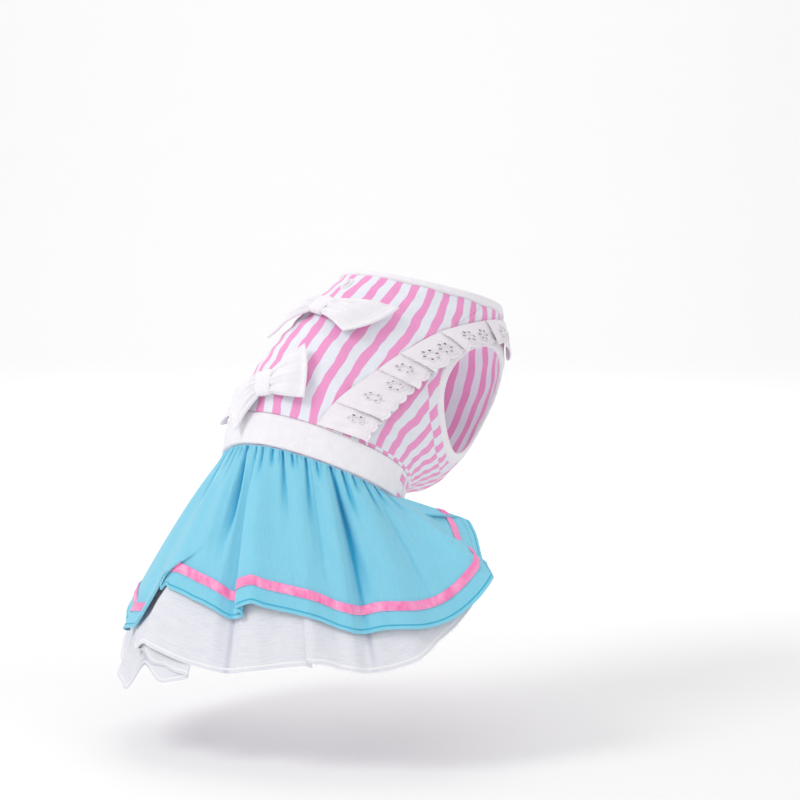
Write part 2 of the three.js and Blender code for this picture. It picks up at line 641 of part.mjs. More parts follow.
// Bows on the centre back
function bow(name, { at, side, tilt, right, left }) {
  const place = (x, y, lift, turn) => {
    const over = side + x * Math.cos(turn * RAD) - y * Math.sin(turn * RAD);
    const up = x * Math.sin(turn * RAD) + y * Math.cos(turn * RAD);
    return onBody(at + up / MM_PER_AT, over / MM_PER_DEGREE, lift);
  };
  const wing = (way, shape) =>
    wall(4, 4, false, (u, v, w) => {
      const long = (shape.reach * BOW_SPAN) / 2;
      const x = lerp(KNOT_WIDTH / 2 + SEAM_GAP, long, u);
      const half = lerp(KNOT_HEIGHT * 0.36, shape.end / 2, Math.pow(u, 0.75));
      const over = 2 * v - 1;
      const puff = BOW_PUFF * Math.sin(Math.PI * Math.min(1, 0.15 + u)) * (1 - 0.5 * over ** 2);
      const crease = BOW_CREASE * (1 - u) * Math.cos(3 * Math.PI * over);
      const y = over * half + way * shape.lean * u * long;
      const lift = WING_LIFT + puff + crease + BOW_TIP * u ** 2 + w * BOW_WALL;
      return place(way * x, y, lift, lerp(tilt, shape.tilt, u));
    });
  piece(name + "_wing_right", wing(1, right), WHITE);
  piece(name + "_wing_left", wing(-1, left), WHITE);
  const knot = wall(4, 4, false, (u, v, w) => {
    const x = (2 * u - 1) * (KNOT_WIDTH / 2);
    const y = (2 * v - 1) * (KNOT_HEIGHT / 2);
    const rounding = Math.sqrt(1 - 0.75 * (2 * v - 1) ** 2) * Math.sqrt(1 - 0.35 * (2 * u - 1) ** 2);
    return place(x, y, BOW_LIFT + w * KNOT_THICKNESS * rounding, tilt);
  });
  piece(name + "_knot", knot, WHITE);
}
bow("upper_bow", UPPER_BOW);
bow("lower_bow", LOWER_BOW);

export default dress;
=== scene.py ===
"""Dog dress: cotton, eyelet lace, georgette, satin and voile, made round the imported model.

Shapes are worked out in millimetres in the model's own frame and turned into metres as each mesh is made.
The neck opening faces -Y and the right side is -X.
"""

import math

import bpy
import mathutils
import numpy as np
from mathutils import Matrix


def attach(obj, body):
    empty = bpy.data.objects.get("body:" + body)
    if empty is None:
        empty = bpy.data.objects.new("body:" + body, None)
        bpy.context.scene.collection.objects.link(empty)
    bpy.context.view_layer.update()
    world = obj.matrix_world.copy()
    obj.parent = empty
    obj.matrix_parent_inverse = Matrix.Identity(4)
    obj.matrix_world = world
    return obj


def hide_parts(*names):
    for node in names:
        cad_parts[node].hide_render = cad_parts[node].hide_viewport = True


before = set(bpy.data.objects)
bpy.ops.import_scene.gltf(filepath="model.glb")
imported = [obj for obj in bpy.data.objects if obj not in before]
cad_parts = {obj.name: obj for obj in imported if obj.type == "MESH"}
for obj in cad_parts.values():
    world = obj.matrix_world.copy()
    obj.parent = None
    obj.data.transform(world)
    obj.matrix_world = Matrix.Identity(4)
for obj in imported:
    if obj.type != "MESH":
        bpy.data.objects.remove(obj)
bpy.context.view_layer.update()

MM = 0.001

# ---------------------------------------------------------------- sizes, mm, as in the solid model
BACK_LENGTH = 130
BODY_HALF_WIDTH = 60
CLOTH = 1.4
SEAM_GAP = 0.3
WAISTBAND_HEIGHT = 21
WAISTBAND_WALL = 2.2
WAISTBAND_END = 97
STRIP_WIDTH = 8
PIPING_WIDTH = 2.2
PIPING_WALL = 2.4
BELLY_PIPING = 3
NECK_BINDING_WIDTH = 6
BINDING_WALL = 2.4
BINDING_INSIDE = 0.3
ARMHOLE_FORWARD = 1.123 * BACK_LENGTH
ARMHOLE_UP = 0.008 * BACK_LENGTH
ARMHOLE_LENGTH = 84
ARMHOLE_HEIGHT = 70
ARMHOLE_BINDING_WIDTH = 7.5
FRONT_SEAM = 132
SLOT_LENGTH = 8
SLOT_WIDTH = 1.6
SLOT_AT = 0.94
RIM_WIDTH = 2
RIM_HEIGHT = 1.2
LACE_CLEARANCE = 0.45
LACE_STAND = 2.4
LACE_PLEAT = 3.4
LACE_PLEAT_LEAN = 0.04
LACE_SCALLOPS = 18
LACE_SCALLOP_DEPTH = 2.3
LACE_UNDER = 3.5
EYELET = (2.2, 1.7)
FLOWER_RADIUS = 4.3
SKIRT_LENGTH = 115
SKIRT_WALL = 1.2
SKIRT_END = 94
GATHER_GAP = 0.6
FOLD_TOP = 0.7
FOLD_DEPTH = 4.2
RIBBON_WIDTH = 6.2
RIBBON_ABOVE_HEM = 15.5
RIBBON_END = 0.985
PETTICOAT_INSET = 4
PETTICOAT_END = 0.93
BOW_SPAN = 50
BOW_PUFF = 4
BOW_CREASE = 1.2
BOW_TIP = 3
BOW_LIFT = 2.4
WING_LIFT = 3.8
BOW_WALL = 2.2
KNOT_WIDTH = 9
KNOT_HEIGHT = 15
KNOT_THICKNESS = 7
# place on the back, mm to the right, and tilt; of each wing: tilt and rise of its end, its height, its reach
UPPER_BOW = {"at": 0.695, "side": 4, "tilt": -10, "right": (-22, 0.37, 34, 1), "left": (0, 0.52, 34, 1)}
LOWER_BOW = {"at": 0.172, "side": 0, "tilt": 15, "right": (20, 0.27, 34, 0.87), "left": (20, 0.38, 29, 1)}

# sizes that only the cloth meshes have, mm
BODICE_SHEET = 0.8
UNDER_BINDING = 1.5
ARMHOLE_ROUND = 40
HALF_SKIRT_CLOTH = 330
RIBBON_SINK = 1.7
PETTICOAT_LIFT = 0.8
# the tuck attribute where no tuck is near
NO_TUCK = -9.0


def named(columns, rows):
    """A table as one array for each named column."""
    return dict(zip(columns.split(), np.array(rows, float).T))


# Cross-sections of the body, as shares of the back length and of the half width.
SECTIONS = named("at back_forward back_up belly_forward belly_up wide", [
    (-0.4, -0.07, -0.33, 0.68, -0.8, 1.0),
    (-0.2, -0.04, -0.17, 0.7, -0.64, 1.0),
    (0.0, 0.0, 0.0, 0.76, -0.47, 1.01),
    (0.2, 0.06, 0.17, 0.92, -0.46, 0.98),
    (0.4, 0.185, 0.315, 1.13, -0.45, 0.94),
    (0.6, 0.33, 0.43, 1.39, -0.31, 0.9),
    (0.8, 0.49, 0.525, 1.61, -0.03, 0.88),
    (1.0, 0.66, 0.61, 1.66, 0.25, 0.81),
    (1.1, 0.735, 0.65, 1.63, 0.4, 0.77),
])

BACK_SEAM = named("at around", [
    (0.0, 36.5), (0.2, 44), (0.4, 50.5), (0.6, 56), (0.8, 65), (1.0, 84), (1.1, 94),
])

# The lace ruffle from the waistband over the shoulder to the chest: its sewn edge and its free edge.
RUFFLE = named("along seam_at seam_around edge_at edge_around", [
    (0.0, 0.036, 37.6, 0.038, 64.5),
    (0.18, 0.22, 44.5, 0.21, 68.5),
    (0.36, 0.42, 51, 0.4, 70.5),
    (0.54, 0.63, 57, 0.585, 73),
    (0.68, 0.8, 66, 0.735, 79),
    (0.8, 0.93, 82, 0.84, 89),
    (0.9, 1.01, 104, 0.905, 108),
    (1.0, 1.035, 140, 0.91, 146),
])

# Where each knife pleat of the lace starts with its folded lower edge, and where the lace ends
PLEATS = np.array([0, 0.155, 0.41, 0.53, 0.69, 0.85, 1])

# Eyelet flowers: place along the ruffle, and across it from the seam to the edge
FLOWERS = named("along across", [
    (0.1, 0.58), (0.255, 0.47), (0.37, 0.6), (0.47, 0.42), (0.585, 0.52), (0.645, 0.58),
    (0.75, 0.52), (0.81, 0.6), (0.905, 0.5), (0.965, 0.55),
])

# The skirt by its hem: way it falls, how far it reaches and drops, and the petticoat below it.
SKIRT = named("across heading reach drop more", [
    (-1.0, -90, 0.03, 0.07, 0.02),
    (-0.975, -130, 0.32, 0.16, 0.03),
    (-0.94, -130, 0.48, 0.35, 0.08),
    (-0.88, -112, 0.55, 0.58, 0.12),
    (-0.78, -90, 0.56, 0.76, 0.17),
    (-0.6, -50, 0.56, 0.95, 0.32),
    (-0.45, -33, 0.53, 0.96, 0.33),
    (-0.38, -25, 0.52, 0.93, 0.32),
    (-0.3, -16, 0.44, 0.77, 0.38),
    (-0.18, 0, 0.4, 0.84, 0.32),
    (-0.07, 14, 0.38, 0.9, 0.26),
    (0.0, 26, 0.36, 0.87, 0.28),
    (0.06, 36, 0.36, 0.81, 0.32),
    (0.17, 46, 0.37, 0.8, 0.29),
    (0.33, 54, 0.385, 0.815, 0.24),
    (0.48, 64, 0.4, 0.86, 0.2),
    (0.6, 74, 0.425, 0.8, 0.2),
    (0.72, 86, 0.485, 0.75, 0.13),
    (0.84, 97, 0.53, 0.64, 0.03),
    (0.92, 112, 0.58, 0.47, -0.03),
    (0.932, 117, 0.53, 0.42, -0.03),
    (0.945, 125, 0.5, 0.34, -0.02),
    (0.965, 136, 0.46, 0.2, 0),
    (0.985, 136, 0.36, 0.11, 0.02),
    (1.0, 90, 0.03, 0.07, 0.02),
])

# Folds of the skirt: middle, height of a ridge or depth of a valley, how far each flank runs, and where
# on the way down it begins and has run out.
FOLDS = named("at out left right start end", [
    (-0.9, 0.6, 0.05, 0.06, 0, 1.5),
    (-0.79, -0.7, 0.05, 0.05, 0, 1.4),
    (-0.7, 0.8, 0.05, 0.06, 0, 1.5),
    (-0.6, -0.9, 0.05, 0.045, 0.1, 1.5),
    (-0.5, 0.7, 0.07, 0.07, 0, 1.4),
    (-0.395, -0.7, 0.035, 0.035, 0, 0.45),
    (-0.3, 0.5, 0.06, 0.07, 0.3, 1.6),
    (-0.2, 0.5, 0.07, 0.05, 0, 0.9),
    (-0.12, -1.0, 0.035, 0.045, 0, 0.75),
    (-0.04, -0.8, 0.06, 0.03, 0.1, 1.5),
    (0.01, 1.1, 0.03, 0.13, 0, 1.6),
    (0.21, -0.4, 0.05, 0.05, 0, 0.6),
    (0.3, 0.3, 0.07, 0.06, 0, 1.4),
    (0.385, -0.5, 0.05, 0.045, 0, 0.85),
    (0.47, 0.7, 0.07, 0.05, 0, 1.6),
    (0.535, -1.2, 0.035, 0.06, 0, 1.1),
    (0.61, -0.7, 0.025, 0.03, 0, 0.4),
    (0.67, 0.5, 0.08, 0.08, 0.1, 1.6),
    (0.78, -0.4, 0.06, 0.06, 0, 0.95),
    (0.93, 0.5, 0.05, 0.03, 0.3, 1.8),
])

# Where the cloth laps over itself: middle at the hem, how far it leans, half of the cloth taken up, how far
# one layer covers the other, where it begins on the way down, how far the right layer stands in front
# (below 0 the left one), and how far across it settles again.
SKIRT_LAPS = named("at lean half cover start front settle", [
    (-0.365, 0.45, 0.035, 0.012, 0.5, -2.6, 0.1),
    (0.003, 0, 0.05, 0.03, 0.06, 3.0, 0.1),
    (0.922, 0, 0.03, 0.03, 0.3, -2.6, 0.03),
])
PETTICOAT_LAPS = named("at lean half cover start front settle", [
    (0.275, 0, 0.03, 0.02, 0.1, 1.8, 0.1),
])

# The deeper slits between the gathers: middle, how far it leans, length, width, and depth in mm
SLITS = named("at lean long wide deep", [
    (-0.86, 0, 0.3, 0.010, 1.6), (-0.72, 0.02, 0.22, 0.009, 1.4), (-0.55, 0.02, 0.3, 0.012, 1.8),
    (-0.42, 0.04, 0.34, 0.011, 1.8), (-0.3, 0.05, 0.2, 0.009, 1.5), (-0.235, 0.03, 0.3, 0.008, 1.3),
    (-0.13, 0.04, 0.62, 0.010, 2.0), (-0.02, 0.02, 0.17, 0.008, 1.5), (0.045, -0.02, 0.24, 0.008, 1.6),
    (0.12, 0.0, 0.15, 0.008, 1.5), (0.2, -0.02, 0.42, 0.009, 1.6), (0.27, 0.03, 0.13, 0.007, 1.4),
    (0.36, -0.03, 0.5, 0.009, 1.7), (0.43, 0.02, 0.15, 0.008, 1.6), (0.515, 0.06, 0.85, 0.012, 2.2),
    (0.59, 0.02, 0.34, 0.010, 2.0), (0.655, 0.0, 0.16, 0.008, 1.5), (0.73, 0.03, 0.3, 0.009, 1.6),
    (0.81, 0.02, 0.2, 0.008, 1.4), (0.89, 0, 0.26, 0.008, 1.2),
])

# The petticoat's hem: how far its folds carry it across, how much lower it lies as a share of the
# skirt's length, and how far it stands out, mm
PETTICOAT_HEM = named("cloth shift extra rise", [
    (-1.0, 0, 0, 0), (-0.93, 0, 0, 0), (-0.8, 0.07, 0, -0.5), (-0.7, 0.192, 0.016, -1.2),
    (-0.62, 0.272, 0.1, -1.8), (-0.57, 0.317, 0.24, -1.6), (-0.53, 0.328, 0.16, -1.2),
    (-0.5, 0.343, 0.08, -0.2), (-0.45, 0.217, 0.124, 0.2), (-0.4, 0.11, 0.136, 0.6),
    (-0.35, -0.025, -0.22, 1.8), (-0.33, -0.055, -0.285, 3.0), (-0.28, -0.02, -0.09, 3.0),
    (-0.25, -0.012, -0.045, 2.9), (-0.2, 0, -0.03, 2.5), (-0.1, 0, 0, 1.0), (0.0, 0, 0.02, 0),
    (0.25, 0, 0.02, 0), (0.35, 0, 0, 0), (0.66, 0, 0, 0), (0.75, 0, -0.04, 0),
    (0.84, 0, -0.01, 0), (1.0, 0, 0, 0),
])

# The skirt's hem, as a share of its length
HEM = named("cloth share", [
    (-1.0, 1), (-0.415, 1), (-0.375, 0.94), (-0.335, 0.86), (-0.315, 0.9), (-0.285, 0.97),
    (-0.2, 0.955), (-0.1, 0.945),
    (-0.05, 0.975), (-0.022, 1.02), (0.003, 0.98), (0.028, 0.955), (0.06, 0.985), (0.1, 1.01), (0.2, 1.015),
    (0.3, 1.01), (0.45, 0.99), (0.6, 0.99), (1.0, 1),
])

# How much higher the ribbon is sewn near the skirt's ends, mm
RIBBON_RISE = named("cloth rise", [(-1.0, 5), (-0.95, 4), (-0.92, 0), (0.92, 0), (0.95, 4), (1.0, 5)])

# Where a fold of the skirt covers the ribbon
RIBBON_COVERED = named("start end", [(-0.43, -0.292)])


# ---------------------------------------------------------------- the body under the dress
def column(table, name, at):
    """A column of a table, read smoothly between its rows."""
    x, y = next(iter(table.values())), table[name]
    at = np.asarray(at, float)
    i = np.clip(np.searchsorted(x, at) - 1, 0, len(x) - 2)
    slope = np.empty_like(y)
    slope[1:-1] = (y[2:] - y[:-2]) / (x[2:] - x[:-2])
    slope[0] = (y[1] - y[0]) / (x[1] - x[0])
    slope[-1] = (y[-1] - y[-2]) / (x[-1] - x[-2])
    h = x[i + 1] - x[i]
    t = (at - x[i]) / h
    return (
        (2 * t**3 - 3 * t**2 + 1) * y[i]
        + (t**3 - 2 * t**2 + t) * h * slope[i]
        + (3 * t**2 - 2 * t**3) * y[i + 1]
        + (t**3 - t**2) * h * slope[i + 1]
    )


def mix(a, b, t):
    return a + (b - a) * t


def ramp(a, b, t):
    """0 below a, 1 above b, smooth between."""
    share = np.clip((t - a) / (b - a), 0, 1)
    return share * share * (3 - 2 * share)


def unit(v):
    return v / np.maximum(np.linalg.norm(v, axis=-1, keepdims=True), 1e-12)


def body(at, around):
    """Points of the bodice's inner face. around: degrees, 0 centre back, 90 right side, 180 belly."""
    at, around = np.broadcast_arrays(np.asarray(at, float), np.asarray(around, float))
    turn = np.radians(around)
    to_belly = (1 - np.cos(turn)) / 2
    forward = mix(column(SECTIONS, "back_forward", at), column(SECTIONS, "belly_forward", at), to_belly)
    up = mix(column(SECTIONS, "back_up", at), column(SECTIONS, "belly_up", at), to_belly)
    flat = np.sin(turn) - 0.05 * np.sin(3 * turn)
    wide = column(SECTIONS, "wide", at) * BODY_HALF_WIDTH
    return np.stack([-wide * flat, -forward * BACK_LENGTH, up * BACK_LENGTH], axis=-1)


def body_normal(at, around):
    at, around = np.asarray(at, float), np.asarray(around, float)
    over = body(at, around + 0.5) - body(at, around - 0.5)
    along = body(at + 0.005, around) - body(at - 0.005, around)
    return unit(np.cross(over, along))


def on_body(at, around, lift):
    return body(at, around) + body_normal(at, around) * np.asarray(lift, float)[..., None]


MM_PER_AT = 10 * float(np.linalg.norm(body(0.55, 0) - body(0.45, 0)))
MM_PER_DEGREE = float(np.linalg.norm(body(0.4, 0.5) - body(0.4, -0.5)))
gap_at = SEAM_GAP / MM_PER_AT
gap_around = SEAM_GAP / MM_PER_DEGREE
band_top = 0.03
band_bottom = band_top - WAISTBAND_HEIGHT / MM_PER_AT
bodice_bottom = band_top + gap_at
neck = 1.1
bodice_top = neck - NECK_BINDING_WIDTH / MM_PER_AT - gap_at
skirt_top = band_bottom - GATHER_GAP / MM_PER_AT

# Length of cloth round the body from the centre back, mm, for each degree
ROUND = np.arange(-360, 721, 1.0)
steps = np.linalg.norm(np.diff(body(0.3, ROUND), axis=0), axis=1)
CLOTH_ROUND = np.concatenate([[0], np.cumsum(steps)])
CLOTH_ROUND -= np.interp(0, ROUND, CLOTH_ROUND)


def cloth_round(around):
    return np.interp(around, ROUND, CLOTH_ROUND)


WAVE_COUNT = 9


def waves(x, y, seed, low, high):
    """Smooth even noise from a few plane waves, with wavelengths from low to high, about -1 to 1."""
    draw = np.random.default_rng(seed)
    total = 0
    for _ in range(WAVE_COUNT):
        way, length, start = draw.uniform(0, math.tau), draw.uniform(low, high), draw.uniform(0, math.tau)
        total = total + np.sin((x * math.cos(way) + y * math.sin(way)) * math.tau / length + start)
    return total / math.sqrt(WAVE_COUNT) * 0.8


def mesh_piece(name, points, faces, material, uv=None, attributes=None, sharp=40):
    """A mesh object in metres from points in mm, with a cloth UV map in metres along the threads.
    faces: one array of corner numbers for each number of corners."""
    counts = np.concatenate([np.full(len(f), f.shape[1]) for f in faces])
    used, corners = np.unique(np.concatenate([f.ravel() for f in faces]), return_inverse=True)
    corners = corners.ravel().astype(np.int32)
    points = np.asarray(points, float)[used] * MM
    mesh = bpy.data.meshes.new(name)
    mesh.vertices.add(len(points))
    mesh.vertices.foreach_set("co", points.ravel())
    mesh.loops.add(len(corners))
    mesh.loops.foreach_set("vertex_index", corners)
    mesh.polygons.add(len(counts))
    starts = np.concatenate([[0], np.cumsum(counts)[:-1]]).astype(np.int32)
    mesh.polygons.foreach_set("loop_start", starts)
    mesh.update(calc_edges=True)
    if uv is not None:
        layer = mesh.uv_layers.new(name="cloth")
        layer.data.foreach_set("uv", (np.asarray(uv, float)[used] * MM)[corners].ravel())
    for key, values in (attributes or {}).items():
        store = mesh.attributes.new(key, "FLOAT", "POINT")
        store.data.foreach_set("value", np.asarray(values, np.float32)[used])
    mesh.shade_smooth()
    mesh.set_sharp_from_angle(angle=math.radians(sharp))
    mesh.materials.append(material)
    mesh.validate()
    piece = bpy.data.objects.new(name, mesh)
    bpy.context.scene.collection.objects.link(piece)
    return piece


def grid_normals(points):
    """Normals of a grid of points, pointing along first index x second index."""
    return unit(np.cross(np.gradient(points, axis=0), np.gradient(points, axis=1)))


def wall(name, outer, thick, material, uv, inward=-1, keep=None, attributes=None):
    """A closed thin wall from a grid of points on its outer face. inward: -1 where the wall is behind
    first index x second index, 1 where it is in front. keep: which cells of the grid are cloth."""
    nu, nv = outer.shape[0] - 1, outer.shape[1] - 1
    inner = outer + grid_normals(outer) * (inward * np.broadcast_to(thick, outer.shape[:2]))[..., None]
    count = outer.shape[0] * outer.shape[1]
    index = np.arange(count).reshape(outer.shape[:2])
    a, b, c, d = index[:-1, :-1], index[1:, :-1], index[1:, 1:], index[:-1, 1:]
    keep = np.ones((nu, nv), bool) if keep is None else keep
    top = np.stack([a, b, c, d], axis=-1)[keep]
    under = top[:, ::-1] + count
    faces = [top, under]
    edge = np.zeros((nu + 2, nv + 2), bool)
    edge[1:-1, 1:-1] = keep
    sides = [
        (~edge[1:-1, :-2] & keep, b, a), (~edge[2:, 1:-1] & keep, c, b),
        (~edge[1:-1, 2:] & keep, d, c), (~edge[:-2, 1:-1] & keep, a, d),
    ]
    for bare, start, end in sides:
        s, e = start[bare], end[bare]
        faces.append(np.stack([s, e, e + count, s + count], axis=-1))
    faces = np.concatenate(faces)
    if inward > 0:
        faces = faces[:, ::-1]
    both = {k: np.tile(np.asarray(v, float).ravel(), 2) for k, v in (attributes or {}).items()}
    both["inner"] = np.repeat([0.0, 1.0], count)
    return mesh_piece(
        name, np.concatenate([outer.reshape(-1, 3), inner.reshape(-1, 3)]), [faces], material,
        np.tile(uv.reshape(-1, 2), (2, 1)), both,
    )


def grid(nu, nv, loop=False):
    u = np.linspace(0.0, 1.0, nu + 1)[: nu if loop else nu + 1]
    return np.meshgrid(u, np.linspace(0.0, 1.0, nv + 1), indexing="ij")


def rounded(edge_distance, radius):
    """0 at an edge, 1 from radius inwards, like the side of a soft fold."""
    t = np.clip(edge_distance / radius, 0, 1)
    return np.sqrt(1 - (1 - t) ** 2)


# ---------------------------------------------------------------- finishes
def add(tree, kind, inputs=None, **settings):
    """A node with its settings, and its inputs as plain values or as another node's output."""
    made = tree.nodes.new(kind)
    for key, value in settings.items():
        setattr(made, key, value)
    for key, value in (inputs or {}).items():
        socket = made.inputs[key]
        if isinstance(value, bpy.types.NodeSocket):
            tree.links.new(value, socket)
        else:
            socket.default_value = value
    return made


def maths(tree, operation, *values):
    return add(tree, "ShaderNodeMath", dict(enumerate(values)), operation=operation).outputs[0]


def blend_colours(tree, factor, a, b, how="MIX"):
    made = add(tree, "ShaderNodeMix", data_type="RGBA", blend_type=how)
    for key, value in ((0, factor), (6, a), (7, b)):
        if isinstance(value, bpy.types.NodeSocket):
            tree.links.new(value, made.inputs[key])
        else:
            made.inputs[key].default_value = value
    return made.outputs[2]


def rgb(red, green, blue):
    """A colour from its 0 to 255 screen values."""
    line = [c / 255 for c in (red, green, blue)]
    return tuple(c / 12.92 if c <= 0.04045 else ((c + 0.055) / 1.055) ** 2.4 for c in line) + (1.0,)


def cloth_finish(name, colour, thread=0.45, weave=0.25, crease=0.3, roughness=0.85, sheen=0.25,
                 alpha=1.0, stretch=1.0, shiny=None):
    """A woven cloth. colour(tree, u, v) gives its colour socket. thread: mm between threads. weave and
    crease: height of the threads and of the soft rumples. stretch: length of a rumple for its width."""
    made = bpy.data.materials.new(name)
    made.use_nodes = True
    tree = made.node_tree
    shader = tree.nodes["Principled BSDF"]
    place = add(tree, "ShaderNodeUVMap", uv_map="cloth").outputs["UV"]
    parts = add(tree, "ShaderNodeSeparateXYZ", {"Vector": place})
    u, v = parts.outputs["X"], parts.outputs["Y"]
    pitch = math.tau / (thread * MM)
    warp = maths(tree, "SINE", maths(tree, "MULTIPLY", u, pitch))
    weft = maths(tree, "SINE", maths(tree, "MULTIPLY", v, pitch))
    over = maths(tree, "MULTIPLY", warp, weft)
    slub = add(tree, "ShaderNodeTexNoise", {"Vector": add(
        tree, "ShaderNodeMapping", {"Vector": place, "Scale": (2600, 260, 1)}).outputs[0],
        "Scale": 1.0, "Detail": 3.0}).outputs[0]
    rumple = add(tree, "ShaderNodeTexNoise", {"Vector": add(
        tree, "ShaderNodeMapping", {"Vector": place, "Scale": (110 * stretch, 110, 1)}).outputs[0],
        "Scale": 1.0, "Detail": 4.0, "Roughness": 0.55}).outputs[0]
    tone = colour(tree, u, v)
    shade = maths(tree, "MULTIPLY_ADD", maths(tree, "SUBTRACT", slub, 0.5), 0.16, 1.0)
    # the slub term is the thicker threads' own tone; the weave term paints the cloth a little darker where
    # the threads sink and lighter on their tops: painted shade of their relief
    shade = maths(tree, "MULTIPLY_ADD", over, 0.03, shade)
    tree.links.new(blend_colours(tree, 1.0, tone, add(
        tree, "ShaderNodeCombineXYZ", {"X": shade, "Y": shade, "Z": shade}).outputs[0], "MULTIPLY"),
        shader.inputs["Base Color"])
    fine = add(tree, "ShaderNodeBump", {"Height": maths(tree, "ADD", over, maths(
        tree, "MULTIPLY", slub, 2.0)), "Strength": weave, "Distance": 0.0001})
    big = add(tree, "ShaderNodeBump", {"Height": rumple, "Strength": crease, "Distance": 0.0012,
                                       "Normal": fine.outputs[0]})
    tree.links.new(big.outputs[0], shader.inputs["Normal"])
    rough = maths(tree, "MULTIPLY_ADD", maths(tree, "SUBTRACT", slub, 0.5), 0.15, roughness)
    tree.links.new(rough, shader.inputs["Roughness"])
    shader.inputs["Sheen Weight"].default_value = sheen
    shader.inputs["Sheen Roughness"].default_value = 0.5
    shader.inputs["Alpha"].default_value = alpha
    shader.inputs["Specular IOR Level"].default_value = 0.25
    if shiny:
        shader.inputs["Anisotropic"].default_value = shiny
        shader.inputs["Specular IOR Level"].default_value = 0.6
    return made


PINK = rgb(243, 158, 208)
STRIPE_WHITE = rgb(236, 238, 247)
COTTON_WHITE = rgb(246, 243, 247)
STRIPE_PERIOD = 12.2
STRIPE_SHARE = 0.47
STRIPE_START = -3.5
TUCK_SHIFT = 5.0
TUCK_WIDTH = 4.0


def stripes(across_threads):
    """Stripes along the cloth, or across it, stepped sideways beyond a tuck."""
    def colour(tree, u, v):
        line = v if across_threads else u
        other = u if across_threads else v
        tuck = add(tree, "ShaderNodeAttribute", attribute_name="tuck").outputs["Fac"]
        beyond = maths(tree, "GREATER_THAN", tuck, 0.0)
        wobble = add(tree, "ShaderNodeTexNoise", {
            "Vector": add(tree, "ShaderNodeCombineXYZ", {"X": line, "Y": other}).outputs[0],
            "Scale": 75.0, "Detail": 1.0}).outputs[0]
        moved = maths(tree, "MULTIPLY_ADD", maths(tree, "SUBTRACT", wobble, 0.5), 0.0036, line)
        moved = maths(tree, "MULTIPLY_ADD", beyond, TUCK_SHIFT * MM, moved)
        turn = maths(tree, "DIVIDE", maths(tree, "SUBTRACT", moved, STRIPE_START * MM), STRIPE_PERIOD * MM)
        near = maths(tree, "PINGPONG", turn, 0.5)
        band = add(tree, "ShaderNodeMapRange", {
            0: near, 1: STRIPE_SHARE / 2 - 0.012, 2: STRIPE_SHARE / 2 + 0.012, 3: 1.0, 4: 0.0}).outputs[0]
        return blend_colours(tree, band, STRIPE_WHITE, PINK)
    return colour


def even(colour_value, patch_value=None, size=180.0):
    """One colour, softly clouded with a second one."""
    def colour(tree, u, v):
        noise = add(tree, "ShaderNodeTexNoise", {"Vector": add(
            tree, "ShaderNodeCombineXYZ", {"X": u, "Y": v}).outputs[0],
            "Scale": size, "Detail": 3.0}).outputs[0]
        share = add(tree, "ShaderNodeMapRange", {0: noise, 1: 0.3, 2: 0.7}).outputs[0]
        return blend_colours(tree, share, colour_value, patch_value or colour_value)
    return colour


def in_folds(colour_value, shade_and_slub_value, hem=None, slubs=0.0):
    """One colour, turned towards a deeper second colour in the hollows of the folds: painted shade. hem:
    colour of the line sewn above the hem.
    slubs: how strong the thicker threads across the cloth show, also in the second colour."""
    def colour(tree, u, v):
        # painted shade: the attribute gives how much of the deeper colour is painted in, clouded a little at
        # random
        painted_shade = add(tree, "ShaderNodeAttribute", attribute_name="painted_shade").outputs["Fac"]
        cloudy = add(tree, "ShaderNodeTexNoise", {"Vector": add(
            tree, "ShaderNodeCombineXYZ", {"X": u, "Y": v}).outputs[0],
            "Scale": 55.0, "Detail": 2.0}).outputs[0]
        share = maths(tree, "MULTIPLY_ADD", maths(tree, "SUBTRACT", cloudy, 0.5), 0.35, painted_shade)
        clamped = add(tree, "ShaderNodeClamp", {"Value": share}).outputs[0]
        tone = blend_colours(tree, clamped, colour_value, shade_and_slub_value)
        if slubs:
            threads = add(tree, "ShaderNodeTexNoise", {"Vector": add(
                tree, "ShaderNodeCombineXYZ", {"X": maths(tree, "MULTIPLY", u, 60.0),
                                               "Y": maths(tree, "MULTIPLY", v, 1500.0)}).outputs[0],
                "Scale": 1.0, "Detail": 2.0}).outputs[0]
            dark = add(tree, "ShaderNodeMapRange", {0: threads, 1: 0.45, 2: 0.7, 3: 0.0, 4: slubs}).outputs[0]
            tone = blend_colours(tree, dark, tone, shade_and_slub_value)
        if hem:
            off = maths(tree, "ABSOLUTE", maths(tree, "ADD", v, 2.6 * MM))
            line = add(tree, "ShaderNodeMapRange", {
                0: off, 1: 0.3 * MM, 2: 0.8 * MM, 3: 1.0, 4: 0.0}).outputs[0]
            tone = blend_colours(tree, line, tone, hem)
        return tone
    return colour


striped_cotton = cloth_finish("striped_cotton", stripes(False), crease=0.35)
striped_cotton_across = cloth_finish("striped_cotton_across", stripes(True), crease=0.35)
white_cotton = cloth_finish("white_cotton", even(COTTON_WHITE, rgb(240, 238, 243)), crease=0.4)
# the lace's greyer second white is painted on the thin cloth between the embroidery: partly its own
# see-through tone, partly painted shade
lace_cotton = cloth_finish("lace_cotton", in_folds(rgb(252, 250, 252), rgb(244, 238, 244)),
                           thread=0.4, crease=0.4)
# the deeper second blue is painted shade in the floors of the folds, gathers and slits; the third blue is the
# sewn hem line
georgette = cloth_finish("georgette", in_folds(rgb(136, 212, 236), rgb(46, 174, 216), rgb(66, 184, 216)),
                         thread=0.35, weave=0.35, crease=0.35, roughness=0.75, sheen=0.3, stretch=3.0)
# the greyer second white is painted shade in the floors of the folds and also the slubs' colour; the third is
# the rolled hem
voile = cloth_finish("voile", in_folds(rgb(240, 240, 247), rgb(205, 207, 221), rgb(252, 252, 254), 0.35),
                     thread=0.3, weave=0.3, crease=0.3, roughness=0.8, alpha=0.93, stretch=0.3)
